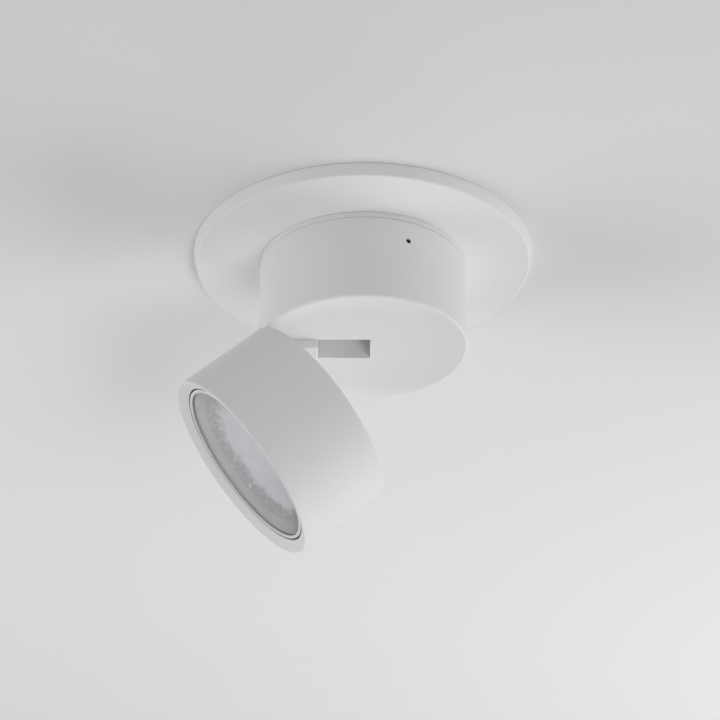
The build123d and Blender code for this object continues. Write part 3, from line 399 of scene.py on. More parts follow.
    def _flutes(self) -> Tree:
        """Small facets in rows about Z of the vector, as pressed into a reflector."""
        takes = {"Vector": Kind.VECTOR, "Count": Kind.VALUE, "Rows": Kind.VALUE, "Depth": Kind.VALUE}
        graph, given, end = self._open("reflector_facets", takes, {"Normal": Kind.VECTOR})
        x, y, z = graph.split(given["Vector"])
        per_turn = graph.math("DIVIDE", given["Count"], 2 * math.pi)
        columns = graph.math("MULTIPLY", graph.math("ARCTAN2", y, x), per_turn)
        rows = graph.math("DIVIDE", z, given["Rows"])
        domes = []
        for way in (columns, rows):
            facet = graph.math("PINGPONG", way, 0.5)
            domes.append(graph.math("MULTIPLY", facet, facet))
        normal = graph.bump(given["Depth"], graph.math("ADD", *domes))
        return self._close(graph, end, {"Normal": normal})

    def _tracks(self) -> Tree:
        """Copper tracks under a board's lacquer: a mask and a slight step."""
        takes = {"Vector": Kind.VECTOR, "Pitch": Kind.VALUE}
        graph, given, end = self._open("board_tracks", takes, {"Factor": Kind.VALUE, "Normal": Kind.VECTOR})
        scale = graph.math("DIVIDE", 1.0, given["Pitch"])
        inputs = {"Vector": given["Vector"], "Scale": scale, "Randomness": 0.75}
        cells = graph.add("ShaderNodeTexVoronoi", inputs, distance="MANHATTAN", feature="F1")
        mask = graph.ramp(cells.outputs["Distance"], *self.TRACK_RANGE)
        return self._close(graph, end, {"Factor": mask, "Normal": graph.bump(self.TRACK_STEP, mask)})

    def _winding(self) -> Tree:
        """Lapped turns of tape across Z of the vector."""
        takes = {"Vector": Kind.VECTOR, "Pitch": Kind.VALUE, "Depth": Kind.VALUE}
        graph, given, end = self._open("tape_turns", takes, {"Normal": Kind.VECTOR, "Factor": Kind.VALUE})
        x, _, z = graph.split(given["Vector"])
        slanted = graph.math("ADD", z, graph.math("MULTIPLY", x, self.TAPE_SLANT))
        lap = graph.math("FRACT", graph.math("DIVIDE", slanted, given["Pitch"]))
        return self._close(graph, end, {"Normal": graph.bump(given["Depth"], lap), "Factor": lap})

    def _edges(self) -> Tree:
        """Edges eased to a given radius in metres, and a mask of where they are."""
        gives = {"Normal": Kind.VECTOR, "Edge": Kind.VALUE}
        graph, given, end = self._open("eased_edges", {"Radius": Kind.VALUE}, gives)
        inputs = {"Radius": given["Radius"]}
        eased = graph.add("ShaderNodeBevel", inputs, samples=self.EDGE_SAMPLES).outputs[0]
        flat = graph.add("ShaderNodeNewGeometry").outputs["Normal"]
        match = graph.add("ShaderNodeVectorMath", {0: eased, 1: flat}, operation="DOT_PRODUCT")
        edge = graph.ramp(match.outputs["Value"], *self.EDGE_RANGE)
        return self._close(graph, end, {"Normal": eased, "Edge": edge})

    def _scratches(self) -> Tree:
        """Sparse hairline scratches in two directions, 1 on a scratch."""
        takes = {"Vector": Kind.VECTOR, "Size": Kind.VALUE, "Amount": Kind.VALUE}
        graph, given, end = self._open("hairlines", takes, {"Factor": Kind.VALUE})
        scale = graph.math("DIVIDE", 1.0, given["Size"])
        found = []
        for stretch, turn in self.HAIRLINE_WAYS:
            rotation = (turn, self.HAIRLINE_TILT, turn)
            inputs = {"Vector": given["Vector"], "Rotation": rotation, "Scale": stretch}
            laid = graph.add("ShaderNodeMapping", inputs).outputs[0]
            noise = graph.noise({"Vector": laid, "Scale": scale, "Detail": 0.0, "Distortion": 0.4})
            off = graph.math("ABSOLUTE", graph.math("SUBTRACT", noise, 0.5))
            found.append(graph.ramp(off, self.HAIRLINE_REACH, 0.0))
        either = graph.math("MAXIMUM", *found)
        area_scale = graph.math("MULTIPLY", scale, self.HAIRLINE_AREA_SCALE)
        where = graph.noise({"Vector": given["Vector"], "Scale": area_scale})
        shown = graph.math("MULTIPLY", either, graph.ramp(where, *self.HAIRLINE_AREA_RANGE))
        return self._close(graph, end, {"Factor": graph.math("MULTIPLY", shown, given["Amount"])})

    def _zones(self) -> Tree:
        """Masks of a lamp's bowl by depth behind its front edge: collar, dark band of painted reflection and
        bright streaks of painted highlight.
        """
        takes = {"Vector": Kind.VECTOR, "Front": Kind.VALUE, "Collar": Kind.VALUE, "Dark": Kind.VALUE,
                 "Waver": Kind.VALUE, "Streak": Kind.VALUE}
        gives = {"Collar": Kind.VALUE, "Dark": Kind.VALUE, "Streaks": Kind.VALUE}
        graph, given, end = self._open("bowl_zones", takes, gives)
        x, y, z = graph.split(given["Vector"])
        depth = graph.math("SUBTRACT", given["Front"], z)
        scale = graph.math("DIVIDE", 1.0, given["Waver"])
        noise = graph.noise({"Vector": given["Vector"], "Scale": scale, "Detail": 4.0})
        moved = graph.math("MULTIPLY", graph.math("SUBTRACT", noise, 0.5), given["Waver"])
        masks = {}
        for band, (share, blur) in self.BAND_ENDS.items():
            past = graph.math("SUBTRACT", graph.math("MULTIPLY_ADD", moved, share, depth), given[band])
            masks[band] = graph.ramp(past, blur, -blur)
        # Streaks of painted highlight in the dark band of painted reflection.
        angle = graph.math("ARCTAN2", y, x)
        inputs = {0: angle, 1: graph.math("MULTIPLY", z, self.STREAK_SLOPE)}
        laid = graph.add("ShaderNodeCombineXYZ", inputs).outputs[0]
        fine = graph.noise({"Vector": laid, "Scale": given["Streak"], "Detail": 2.0})
        masks["Streaks"] = graph.ramp(fine, *self.STREAK_RANGE)
        return self._close(graph, end, masks)


# ---------------------------------------------------------------- finishes

class Relief(Enum):
    """The small surface form of a finish."""

    GRAIN = "fine bumps"
    BRUSHED = "parallel lines"
    TURNED = "tool marks about the head's axis"
    FACETED = "pressed facets of the reflector"
    TRACKED = "tracks of a circuit board"
    WOUND = "turns of tape"


@dataclass(frozen=True)
class BowlBands:
    """What the inside of the lamp's bowl shows from its front edge to its throat: a collar, then a dark band
    of painted reflection of the dark inside, with streaks of painted highlight in it.

    Attributes:
        collar_depth: depth of the plain collar, in millimetres.
        collar_colour: its colour.
        dark_depth: depth at which the dark band of painted reflection ends, in millimetres.
        dark_reflection_colour: its colour, painted reflection of the dark inside of the head.
        waver: how far its end wanders, in millimetres.
        streak_count: how closely the streaks of painted highlight in it stand.
        streak_highlight_colour: their colour, painted highlight.
    """

    collar_depth: float
    collar_colour: Colour
    dark_depth: float
    dark_reflection_colour: Colour
    waver: float
    streak_count: float
    streak_highlight_colour: Colour


@dataclass(frozen=True)
class Finish:
    """One finish, in real sizes.

    Attributes:
        colour: linear base colour.
        roughness: middle roughness.
        metallic: 1 for bare metal.
        relief: its small surface form.
        relief_size: size or pitch of that form, in millimetres.
        relief_depth: its depth, in millimetres.
        second: colour that the patches, tracks or turns show.
        second_share: how strongly they show it.
        patch_size: size of the soft patches, in millimetres.
        roughness_spread: how far the patches move the roughness.
        edge_radius: radius that sharp edges are eased to, in millimetres.
        edge_colour: colour that worn edges show.
        edge_share: how strongly they show it.
        hairlines: strength of hairline scratches.
        transmission: 1 for clear material.
        specular: Principled's specular level.
        ior: refraction index.
        facets: number of facets round a bowl.
        bands: what the inside of a bowl shows by depth.
    """

    colour: Colour
    roughness: float
    metallic: float = 0.0
    relief: Relief = Relief.GRAIN
    relief_size: float = 0.8
    relief_depth: float = 0.01
    second: Colour = (0.3, 0.29, 0.27)
    second_share: float = 0.04
    patch_size: float = 35.0
    roughness_spread: float = 0.08
    edge_radius: float = 0.25
    edge_colour: Colour = (0.9, 0.9, 0.9)
    edge_share: float = 0.1
    hairlines: float = 0.1
    transmission: float = 0.0
    specular: float = 0.5
    ior: float = 1.45
    facets: float = 60.0
    bands: BowlBands | None = None


FINISHES: dict[str, Finish] = {
    "white_paint": Finish(
        colour=(0.80, 0.80, 0.795), roughness=0.5, relief_size=0.9, relief_depth=0.012,
        second=(0.62, 0.61, 0.59), second_share=0.07, patch_size=60.0, edge_share=0.35, hairlines=0.12,
        specular=0.42),
    "zinc_steel": Finish(
        colour=(0.62, 0.63, 0.64), roughness=0.32, metallic=1.0, relief_size=0.6, relief_depth=0.006,
        second=(0.5, 0.5, 0.47), second_share=0.4, patch_size=9.0, roughness_spread=0.16,
        edge_colour=(0.8, 0.8, 0.8), edge_share=0.4, hairlines=0.4),
    "black_steel": Finish(
        colour=(0.022, 0.021, 0.02), roughness=0.42, metallic=0.7, relief_size=0.3, relief_depth=0.004,
        second=(0.11, 0.08, 0.06), second_share=0.3, patch_size=2.0, roughness_spread=0.15,
        edge_colour=(0.3, 0.29, 0.28), edge_share=0.3, hairlines=0.3),
    "brass": Finish(
        colour=(0.78, 0.57, 0.27), roughness=0.28, metallic=1.0, relief=Relief.BRUSHED, relief_size=0.25,
        relief_depth=0.003, second=(0.45, 0.3, 0.14), second_share=0.4, patch_size=4.0,
        roughness_spread=0.15, edge_colour=(0.95, 0.8, 0.5), edge_share=0.4, hairlines=0.4),
    "black_rubber": Finish(
        colour=(0.028, 0.028, 0.029), roughness=0.78, relief_size=0.35, relief_depth=0.02,
        second=(0.12, 0.12, 0.12), second_share=0.2, patch_size=6.0, roughness_spread=0.1,
        edge_colour=(0.1, 0.1, 0.1), edge_share=0.3, hairlines=0.0),
    "acetal": Finish(
        colour=(0.72, 0.71, 0.67), roughness=0.36, relief_size=0.5, relief_depth=0.005,
        second=(0.5, 0.48, 0.42), second_share=0.2, patch_size=5.0, roughness_spread=0.1),
    "white_plastic": Finish(
        colour=(0.74, 0.74, 0.72), roughness=0.4, relief_size=0.4, relief_depth=0.008,
        second=(0.55, 0.53, 0.48), second_share=0.15, patch_size=10.0),
    "lamp_white": Finish(
        colour=(0.79, 0.79, 0.785), roughness=0.4, relief_size=0.6, relief_depth=0.006,
        second=(0.6, 0.59, 0.57), second_share=0.1, patch_size=25.0, edge_share=0.3, hairlines=0.15),
    "clear_lens": Finish(
        colour=(0.97, 0.97, 0.985), roughness=0.03, relief_size=2.2, relief_depth=0.012,
        second=(0.9, 0.9, 0.9), second_share=0.1, patch_size=18.0, roughness_spread=0.04, edge_share=0.0,
        hairlines=0.25, transmission=1.0),
    "bright_reflector": Finish(
        colour=(0.96, 0.95, 1.0), roughness=0.3, metallic=1.0, relief=Relief.FACETED, relief_size=3.2,
        relief_depth=0.3, second=(0.62, 0.60, 0.68), second_share=0.5, patch_size=4.0, edge_share=0.0,
        hairlines=0.2,
        # The bands paint a grey collar, a dark band of painted reflection and streaks of painted highlight
        # over the reflector.
        bands=BowlBands(
            collar_depth=4.2, collar_colour=(0.50, 0.50, 0.51), dark_depth=9.0,
            dark_reflection_colour=(0.36, 0.36, 0.37), waver=5.0, streak_count=14.0, streak_highlight_colour=(0.8, 0.8, 0.82))),
    "bare_aluminium": Finish(
        colour=(0.72, 0.72, 0.73), roughness=0.38, metallic=1.0, relief=Relief.TURNED, relief_size=0.3,
        second=(0.55, 0.55, 0.56), second_share=0.4, patch_size=14.0, roughness_spread=0.12,
        edge_colour=(0.85, 0.85, 0.85), edge_share=0.3, hairlines=0.3),
    "board_white": Finish(
        colour=(0.8, 0.8, 0.78), roughness=0.35, relief=Relief.TRACKED, relief_size=3.0,
        second=(0.7, 0.69, 0.63), second_share=0.6, patch_size=8.0),
    "phosphor": Finish(
        colour=(0.85, 0.66, 0.16), roughness=0.42, relief_size=0.35, relief_depth=0.015,
        second=(0.7, 0.5, 0.1), second_share=0.4, patch_size=3.0, edge_share=0.0, hairlines=0.0),
    "board_green": Finish(
        colour=(0.03, 0.19, 0.07), roughness=0.3, relief=Relief.TRACKED, relief_size=2.4,
        second=(0.05, 0.3, 0.11), second_share=0.8, patch_size=8.0),
    "winding_tape": Finish(
        colour=(0.78, 0.56, 0.06), roughness=0.38, relief=Relief.WOUND, relief_size=3.0,
        relief_depth=0.06, second=(0.6, 0.4, 0.03), second_share=0.5, patch_size=6.0),
    "contact_metal": Finish(
        colour=(0.66, 0.62, 0.52), roughness=0.3, metallic=1.0, relief=Relief.BRUSHED, relief_size=0.2,
        relief_depth=0.004, second=(0.45, 0.38, 0.28), second_share=0.4, patch_size=4.0,
        edge_colour=(0.85, 0.8, 0.7), edge_share=0.4, hairlines=0.3),
    "steatite": Finish(
        colour=(0.76, 0.74, 0.68), roughness=0.62, relief_size=0.5, relief_depth=0.03,
        second=(0.5, 0.46, 0.38), second_share=0.25, patch_size=3.0, roughness_spread=0.1),
    "lead_sheath": Finish(
        colour=(0.045, 0.045, 0.048), roughness=0.5, relief_depth=0.012, second=(0.14, 0.14, 0.14),
        second_share=0.2, patch_size=10.0),
}


class Paintshop:
    """Makes one material for each finish.

    Attributes:
        HAIRLINE_SCALE: size of the hairlines' pattern, as a share of the patches'.
        HAIRLINE_ROUGHNESS: roughness that a full hairline adds.
        SHADOW_TINT: colour of the light that a clear material lets through.
    """

    HAIRLINE_SCALE = 0.4
    HAIRLINE_ROUGHNESS = 0.5
    SHADOW_TINT = (0.9, 0.9, 0.9)

    def __init__(self, effects: Effects, head: HeadPlace) -> None:
        """Keeps what the materials share.

        Args:
            effects: the shared node groups.
            head: place of the head, for what runs round its axis.
        """
        self.effects = effects
        self.head = head
        self.made: dict[str, bpy.types.Material] = {}

    def material(self, name: str) -> bpy.types.Material:
        """Gives the material of a finish, made at its first use.

        Args:
            name: the finish's name, which is the record's slot.

        Returns:
            The material.
        """
        if name not in self.made:
            self.made[name] = self._make(name, FINISHES[name])
            log.info("finish %s", name)
        return self.made[name]

    def _make(self, name: str, finish: Finish) -> bpy.types.Material:
        """Builds the node tree of one material.

        Args:
            name: the material's name.
            finish: what it looks like.

        Returns:
            The material.
        """
        material = bpy.data.materials.new(name)
        material.use_nodes = True
        material.node_tree.nodes.clear()
        graph = Graph(material.node_tree)
        place = graph.add("ShaderNodeTexCoord").outputs["Object"]
        edges = graph.use(self.effects.edges, {"Radius": finish.edge_radius * MM})
        patch_size = finish.patch_size * MM
        patches = graph.use(self.effects.patches, {"Vector": place, "Size": patch_size}).outputs["Factor"]
        normal, pattern = self._relief(graph, finish, place, edges.outputs["Normal"], patches)
        inputs = {"Vector": place, "Size": patch_size * self.HAIRLINE_SCALE, "Amount": finish.hairlines}
        hairlines = graph.use(self.effects.scratches, inputs).outputs["Factor"]
        shown = graph.math("MULTIPLY", pattern, finish.second_share, clamp=True)
        colour = graph.blend(shown, finish.colour, finish.second)
        if finish.bands:
            colour = self._banded(graph, finish.bands, place, colour)
        worn = graph.math("MULTIPLY", edges.outputs["Edge"], finish.edge_share, clamp=True)
        colour = graph.blend(worn, colour, finish.edge_colour)
        offset = graph.math("MULTIPLY", graph.math("SUBTRACT", patches, 0.5), finish.roughness_spread)
        scratched = graph.math("MULTIPLY", hairlines, self.HAIRLINE_ROUGHNESS)
        roughness = graph.math("ADD", graph.math("ADD", offset, finish.roughness), scratched, clamp=True)
        inputs = {"Base Color": colour, "Metallic": finish.metallic, "Roughness": roughness, "Normal": normal,
                  "Specular IOR Level": finish.specular, "IOR": finish.ior,
                  "Transmission Weight": finish.transmission}
        surface = graph.add("ShaderNodeBsdfPrincipled", inputs).outputs[0]
        if finish.transmission:
            surface = self._let_light_through(graph, surface)
        graph.add("ShaderNodeOutputMaterial", {"Surface": surface})
        return material

    def _relief(self, graph: Graph, finish: Finish, place: Socket, eased: Socket,
                patches: Socket) -> tuple[Socket, Socket]:
        """Adds the small surface form of a finish.

        Args:
            graph: the material's graph.
            finish: the finish.
            place: the point's coordinates.
            eased: the normal with its edges eased.
            patches: the finish's soft patches.

        Returns:
            The normal, and the pattern that the second colour follows.
        """
        size, depth = finish.relief_size * MM, finish.relief_depth * MM
        match finish.relief:
            case Relief.BRUSHED:
                inputs = {"Vector": place, "Pitch": size, "Depth": depth, "Normal": eased}
                lines = graph.use(self.effects.brushing, inputs)
                return lines.outputs["Normal"], lines.outputs["Factor"]
            case Relief.TURNED:
                inputs = {"Vector": self._head_place(graph, place), "Pitch": size, "Depth": depth,
                          "Normal": eased}
                rings = graph.use(self.effects.turning, inputs)
                return rings.outputs["Normal"], rings.outputs["Factor"]
            case Relief.FACETED:
                inputs = {"Vector": self._head_place(graph, place), "Count": finish.facets, "Rows": size,
                          "Depth": depth}
                return graph.use(self.effects.flutes, inputs).outputs["Normal"], patches
            case Relief.TRACKED:
                tracks = graph.use(self.effects.tracks, {"Vector": place, "Pitch": size})
                return tracks.outputs["Normal"], tracks.outputs["Factor"]
            case Relief.WOUND:
                tape = graph.use(self.effects.winding, {"Vector": place, "Pitch": size, "Depth": depth})
                return tape.outputs["Normal"], tape.outputs["Factor"]
        inputs = {"Vector": place, "Size": size, "Depth": depth, "Normal": eased}
        return graph.use(self.effects.grain, inputs).outputs["Normal"], patches

    def _banded(self, graph: Graph, bands: BowlBands, place: Socket, colour: Socket) -> Socket:
        """Lays the bands of a lamp's bowl over its colour: the collar, and the dark band of painted
        reflection with its streaks of painted highlight.

        Args:
            graph: the material's graph.
            bands: the bands.
            place: the point's coordinates.
            colour: colour of the bowl behind the bands.

        Returns:
            The colour with its bands.
        """
        inputs = {"Vector": self._head_place(graph, place), "Front": self.head.bowl_depth,
                  "Collar": bands.collar_depth * MM, "Dark": bands.dark_depth * MM, "Waver": bands.waver * MM,
                  "Streak": bands.streak_count}
        zones = graph.use(self.effects.zones, inputs).outputs
        # Painted highlight streaks over the dark band's painted reflection, then the collar.
        highlighted = graph.blend(zones["Streaks"], bands.dark_reflection_colour, bands.streak_highlight_colour)
        inner = graph.blend(zones["Dark"], colour, highlighted)
        return graph.blend(zones["Collar"], inner, bands.collar_colour)

    def _head_place(self, graph: Graph, place: Socket) -> Socket:
        """Turns coordinates into those of the head, with +Z forward from the emitter.

        Args:
            graph: the material's graph.
            place: coordinates in the frame.

        Returns:
            Coordinates in the head.
        """
        inputs = {"Vector": place, "Location": self.head.emitter, "Rotation": (0.0, self.head.turn, 0.0)}
        return graph.add("ShaderNodeMapping", inputs, vector_type="TEXTURE").outputs[0]

    def _let_light_through(self, graph: Graph, surface: Socket) -> Socket:
        """Lets lamps shine through a clear material without caustics.

        Args:
            graph: the material's graph.
            surface: the clear surface.

        Returns:
            The surface for the material's output.
        """
        path = graph.add("ShaderNodeLightPath")
        through = graph.add("ShaderNodeBsdfTransparent", {"Color": opaque(self.SHADOW_TINT)})
        inputs = {0: path.outputs["Is Shadow Ray"], 1: surface, 2: through.outputs[0]}
        return graph.add("ShaderNodeMixShader", inputs).outputs[0]


# ---------------------------------------------------------------- sub-assemblies

@dataclass(kw_only=True)
class Assembly:
    """One body of the frame, whose nodes take their finishes from the record.

    Attributes:
        body: the body's name.
        shop: maker of the materials.
    """

    body: str
    shop: Paintshop

    def build(self) -> None:
        """Gives each node of the body its finish."""
        for part in frame["record"]["subparts"]:
            node = frame["nodes"][part["node"]]
            if node["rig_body"] == self.body:
                node.data.materials.clear()
                node.data.materials.append(self.shop.material(part["material_slot"]))
                log.info("%s: %s in %s", self.body, node.name, part["material_slot"])


@dataclass(kw_only=True)
class Base(Assembly):
    """Bracket, ceiling plate, swivel ring and what they carry."""

    body: str = "base"


@dataclass(kw_only=True)
class Drum(Assembly):
    """Drum, slot liner, hinge block and driver."""

    body: str = "drum"


@dataclass(kw_only=True)
class Head(Assembly):
    """Head and lamp, with the dies of the emitter as pieces of their own.

    Attributes:
        place: where the head's axis runs.
        die_rows: rows of dies across the emitter.
        die_pitch: distance between them, in millimetres.
        die_side: side of one die, in millimetres.
        die_height: its height, in millimetres.
        dies_radius: of the circle that they stand in, in millimetres.
        emitter_height: of the emitter under them, in millimetres.
    """

    body: str = "head"
    place: HeadPlace
    die_rows: int = 7
    die_pitch: float = 2.0
    die_side: float = 1.2
    die_height: float = 0.12
    dies_radius: float = 8.0
    emitter_height: float = 1.4

    def build(self) -> None:
        """Dresses the nodes and adds the dies."""
        super().build()
        self._dies()

    def _dies(self) -> None:
        """Adds the small squares on the emitter's face as one mesh."""
        middle = (self.die_rows - 1) / 2
        half = self.die_side * MM / 2
        low = self.emitter_height * MM / 2
        square = ((-half, -half), (half, -half), (half, half), (-half, half))
        sides = ((4, 5, 6, 7), (0, 3, 2, 1), (0, 1, 5, 4), (1, 2, 6, 5), (2, 3, 7, 6), (3, 0, 4, 7))
        corners, faces = [], []
        for row in range(self.die_rows):
            for column in range(self.die_rows):
                x = (column - middle) * self.die_pitch * MM
                y = (row - middle) * self.die_pitch * MM
                if math.hypot(x, y) + 2 * half > self.dies_radius * MM:
                    continue
                start = len(corners)
                for z in (low, low + self.die_height * MM):
                    corners += [(x + across, y + along, z) for across, along in square]
                faces += [[start + corner for corner in side] for side in sides]
        mesh = bpy.data.meshes.new("emitter_dies")
        mesh.from_pydata(corners, [], faces)
        mesh.transform(self.place.matrix)
        dies = bpy.data.objects.new("emitter_dies", mesh)
        bpy.context.scene.collection.objects.link(dies)
        mesh.materials.append(self.shop.material("phosphor"))
        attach(dies, self.body)
        log.info("head: emitter_dies, %d faces", len(faces))


# ---------------------------------------------------------------- studio

@dataclass(frozen=True)
class Softbox:
    """A large soft lamp below the ceiling, which glosses and glass don't show.

    Attributes:
        name: the lamp's name.
        azimuth: direction from the object, in degrees from +X towards +Y.
        elevation: degrees above the horizontal.
        distance: from the object, in metres.
        side: side of the square, in metres.
        watts: its power.
    """

    name: str
    azimuth: float
    elevation: float
    distance: float
    side: float
    watts: float

    def build(self, target: Vector) -> None:
        """Places the lamp.

        Args:
            target: the point that it faces.
        """
        turn, rise = math.radians(self.azimuth), math.radians(self.elevation)
        away = Vector((math.cos(turn) * math.cos(rise), math.sin(turn) * math.cos(rise), math.sin(rise)))
        data = bpy.data.lights.new(self.name, "AREA")
        data.shape = "SQUARE"
        data.size = self.side
        data.energy = self.watts
        lamp = bpy.data.objects.new(self.name, data)
        bpy.context.scene.collection.objects.link(lamp)
        lamp.location = target + away * self.distance
        lamp.rotation_mode = "QUATERNION"
        lamp.rotation_quaternion = away.to_track_quat("Z", "Y")
        lamp.visible_camera = False
        lamp.visible_glossy = False
        lamp.visible_transmission = False
        log.info("lamp %s, %.0f W", self.name, self.watts)


@dataclass(frozen=True)
class PhotoCamera:
    """The camera that took the photograph, seen from the ceiling's plane on the drum's axis.

    Attributes:
        azimuth: degrees from +Y towards +X of the way it looks.
        elevation: degrees that it looks up.
        roll: degrees that it is turned about its own line of sight.
        distance: from the camera to the origin along the line of sight, in metres.
        focal_pixels: focal length in pixels of the photograph.
        frame_pixels: side of the photograph.
        origin_pixel: where the origin lies in it.
        sensor: sensor width in millimetres.
        nearest: distance at which the camera starts to see, in metres.
        farthest: distance at which it ends, in metres.
    """

    azimuth: float = 1.0
    elevation: float = 29.41
    roll: float = -0.30
    distance: float = 1.850
    focal_pixels: float = 2863.8
    frame_pixels: int = 720
    origin_pixel: tuple[float, float] = (362.9, 255.8)
    sensor: float = 36.0
    nearest: float = 0.05
    farthest: float = 50.0

    def build(self) -> None:
        """Makes the camera and gives it to the scene."""
        turn, rise, roll = (math.radians(value) for value in (self.azimuth, self.elevation, self.roll))
        forward = Vector((math.sin(turn) * math.cos(rise), math.cos(turn) * math.cos(rise), math.sin(rise)))
        level = Vector((math.cos(turn), -math.sin(turn), 0.0))
        upright = level.cross(forward)
        right = level * math.cos(roll) + upright * math.sin(roll)
        up = upright * math.cos(roll) - level * math.sin(roll)
        middle = self.frame_pixels / 2
        across = (self.origin_pixel[0] - middle) / self.focal_pixels
        down = (self.origin_pixel[1] - middle) / self.focal_pixels
        ray = forward + right * across - up * down
        data = bpy.data.cameras.new("photo_camera")
        data.sensor_width = self.sensor
        data.lens = self.focal_pixels / self.frame_pixels * self.sensor
        data.clip_start, data.clip_end = self.nearest, self.farthest
        camera = bpy.data.objects.new("photo_camera", data)
        bpy.context.scene.collection.objects.link(camera)
        turned = Matrix((right, up, -forward)).transposed().to_4x4()
        camera.matrix_world = Matrix.Translation(-ray * self.distance) @ turned
        bpy.context.scene.camera = camera
        log.info("camera at %s, lens %.0f mm", [round(c, 3) for c in -ray * self.distance], data.lens)


@dataclass(frozen=True)
class CeilingPaint:
    """Matt paint of the ceiling, with painted shade that darkens it towards the near side of the room.

    Attributes:
        near_shaded_colour: colour on the near side, darkened as painted shade.
        far_lit_colour: colour on the far side, lightened as painted light.
        way: direction from the one to the other.
        near_end: where the change starts along it, in metres.
        far_end: where it ends.
        grain_size: size of the roller's grain, in millimetres.
        grain_depth: its depth, in millimetres.
        patch_size: size of the paint's soft patches, in millimetres.
        patch_share: how strongly they show.
        roughness: middle roughness.
    """

    near_shaded_colour: Colour = (0.69, 0.69, 0.692)
    far_lit_colour: Colour = (0.845, 0.843, 0.838)
    way: tuple[float, float, float] = (-0.335, 0.942, 0.0)
    near_end: float = -0.45
    far_end: float = 0.6
    grain_size: float = 1.4
    grain_depth: float = 0.01
    patch_size: float = 300.0
    patch_share: float = 0.06
    roughness: float = 0.75

    def material(self, effects: Effects) -> bpy.types.Material:
        """Makes the paint, which a view from above sees through.

        Args:
            effects: the shared node groups.

        Returns:
            The material.
        """
        material = bpy.data.materials.new("ceiling_paint")
        material.use_nodes = True
        material.node_tree.nodes.clear()
        graph = Graph(material.node_tree)
        place = graph.add("ShaderNodeTexCoord").outputs["Object"]
        # Painted shade: the colour darkens from the far side to the near side of the room.
        inputs = {0: place, 1: self.way}
        along = graph.add("ShaderNodeVectorMath", inputs, operation="DOT_PRODUCT").outputs["Value"]
        inputs = {"Value": along, "From Min": self.near_end, "From Max": self.far_end}
        far = graph.add("ShaderNodeMapRange", inputs, interpolation_type="SMOOTHSTEP").outputs["Result"]
        inputs = {"Vector": place, "Size": self.patch_size * MM}
        patches = graph.math("SUBTRACT", graph.use(effects.patches, inputs).outputs["Factor"], 0.5)
        share = graph.math("MULTIPLY_ADD", patches, self.patch_share, far, clamp=True)
        side = graph.add("ShaderNodeNewGeometry").outputs
        inputs = {"Vector": place, "Size": self.grain_size * MM, "Depth": self.grain_depth * MM,
                  "Normal": side["Normal"]}
        normal = graph.use(effects.grain, inputs).outputs["Normal"]
        inputs = {"Base Color": graph.blend(share, self.near_shaded_colour, self.far_lit_colour),
                  "Roughness": self.roughness, "Normal": normal}
        front = graph.add("ShaderNodeBsdfPrincipled", inputs).outputs[0]
        clear = graph.add("ShaderNodeBsdfTransparent").outputs[0]
        mixed = graph.add("ShaderNodeMixShader", {0: side["Backfacing"], 1: front, 2: clear}).outputs[0]
        graph.add("ShaderNodeOutputMaterial", {"Surface": mixed})
        return material


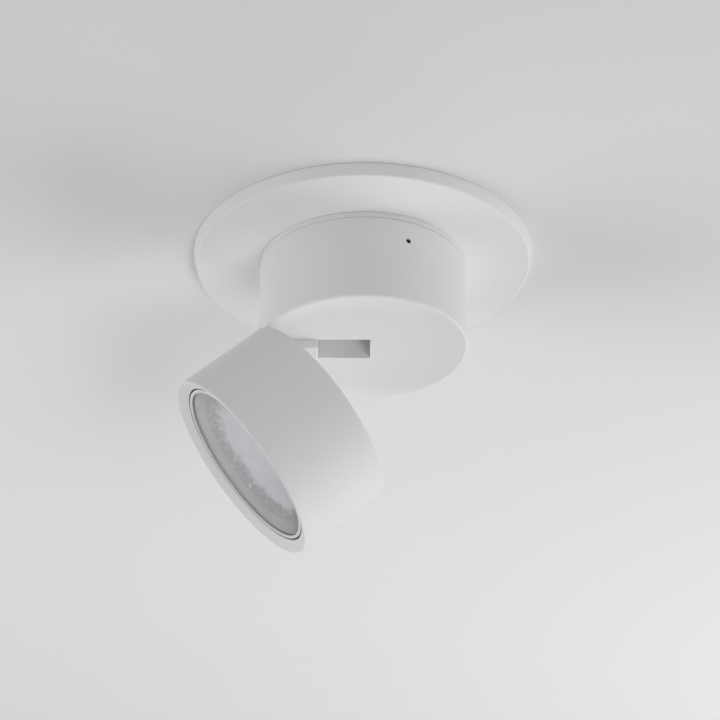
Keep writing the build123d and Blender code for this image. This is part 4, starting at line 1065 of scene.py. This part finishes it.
@dataclass
class Studio:
    """The ceiling, the lamps and the air round them.

    Attributes:
        shop: maker of the materials.
        ceiling_width: width of the ceiling, in metres.
        ceiling_rise: height of the ceiling above the plate's rim, in metres.
        ceiling_opening: radius of the ceiling's opening, which the plate covers, in metres.
        ceiling_facets: number of the ceiling's facets.
        air_colour: colour of the light from all round.
        air_strength: its strength on the object.
        room_strength: how bright the room looks straight, in a gloss or through glass.
        target: the point that the lamps face, in metres.
    """

    shop: Paintshop
    ceiling_width: float = 12.0
    ceiling_rise: float = 0.0002
    ceiling_opening: float = 0.1
    ceiling_facets: int = 96
    air_colour: Colour = (0.99, 0.995, 1.0)
    air_strength: float = 0.15
    room_strength: float = 0.62
    target: tuple[float, float, float] = (0.0, 0.0, -0.08)

    def build(self) -> None:
        """Builds the surroundings."""
        self._ceiling()
        self._air()
        boxes = (
            Softbox("key_far_right", azimuth=35.0, elevation=-38.0, distance=1.7, side=1.1, watts=12.4),
            Softbox("side_right", azimuth=0.0, elevation=-25.0, distance=2.0, side=1.2, watts=5.0),
            Softbox("side_left", azimuth=180.0, elevation=-25.0, distance=2.0, side=1.2, watts=18.2),
            Softbox("back", azimuth=90.0, elevation=-35.0, distance=2.2, side=1.2, watts=6.2),
            Softbox("near_right", azimuth=-60.0, elevation=-38.0, distance=2.3, side=1.0, watts=16.2),
        )
        for box in boxes:
            box.build(Vector(self.target))

    def _ceiling(self) -> None:
        """Adds the ceiling, which is seen through from above and open behind the plate."""
        turns = [2 * math.pi * step / self.ceiling_facets for step in range(self.ceiling_facets)]
        corners = [(radius * math.cos(turn), radius * math.sin(turn), self.ceiling_rise)
                   for turn in turns for radius in (self.ceiling_opening, self.ceiling_width / 2)]
        count = len(corners)
        faces = [(near, (near + 2) % count, (near + 3) % count, near + 1) for near in range(0, count, 2)]
        mesh = bpy.data.meshes.new("ceiling")
        mesh.from_pydata(corners, [], faces)
        ceiling = bpy.data.objects.new("ceiling", mesh)
        bpy.context.scene.collection.objects.link(ceiling)
        mesh.materials.append(CeilingPaint().material(self.shop.effects))
        log.info("ceiling %.0f m wide", self.ceiling_width)

    def _air(self) -> None:
        """Sets the world's even light."""
        world = bpy.data.worlds.new("air")
        world.use_nodes = True
        world.node_tree.nodes.clear()
        graph = Graph(world.node_tree)
        path = graph.add("ShaderNodeLightPath").outputs
        seen = graph.math("MAXIMUM", path["Is Camera Ray"], path["Is Glossy Ray"])
        seen = graph.math("MAXIMUM", seen, path["Is Transmission Ray"])
        strength = graph.math("MULTIPLY_ADD", seen, self.room_strength - self.air_strength, self.air_strength)
        inputs = {"Color": opaque(self.air_colour), "Strength": strength}
        graph.add("ShaderNodeOutputWorld", {"Surface": graph.add("ShaderNodeBackground", inputs).outputs[0]})
        bpy.context.scene.world = world


def main() -> None:
    """Dresses the frame and sets the picture up."""
    place = HeadPlace.from_frame()
    shop = Paintshop(Effects(), place)
    for assembly in (Base(shop=shop), Drum(shop=shop), Head(shop=shop, place=place)):
        assembly.build()
    Studio(shop).build()
    PhotoCamera().build()
    bpy.context.scene.view_settings.view_transform = "Standard"


if __name__ == "__main__":
    main()
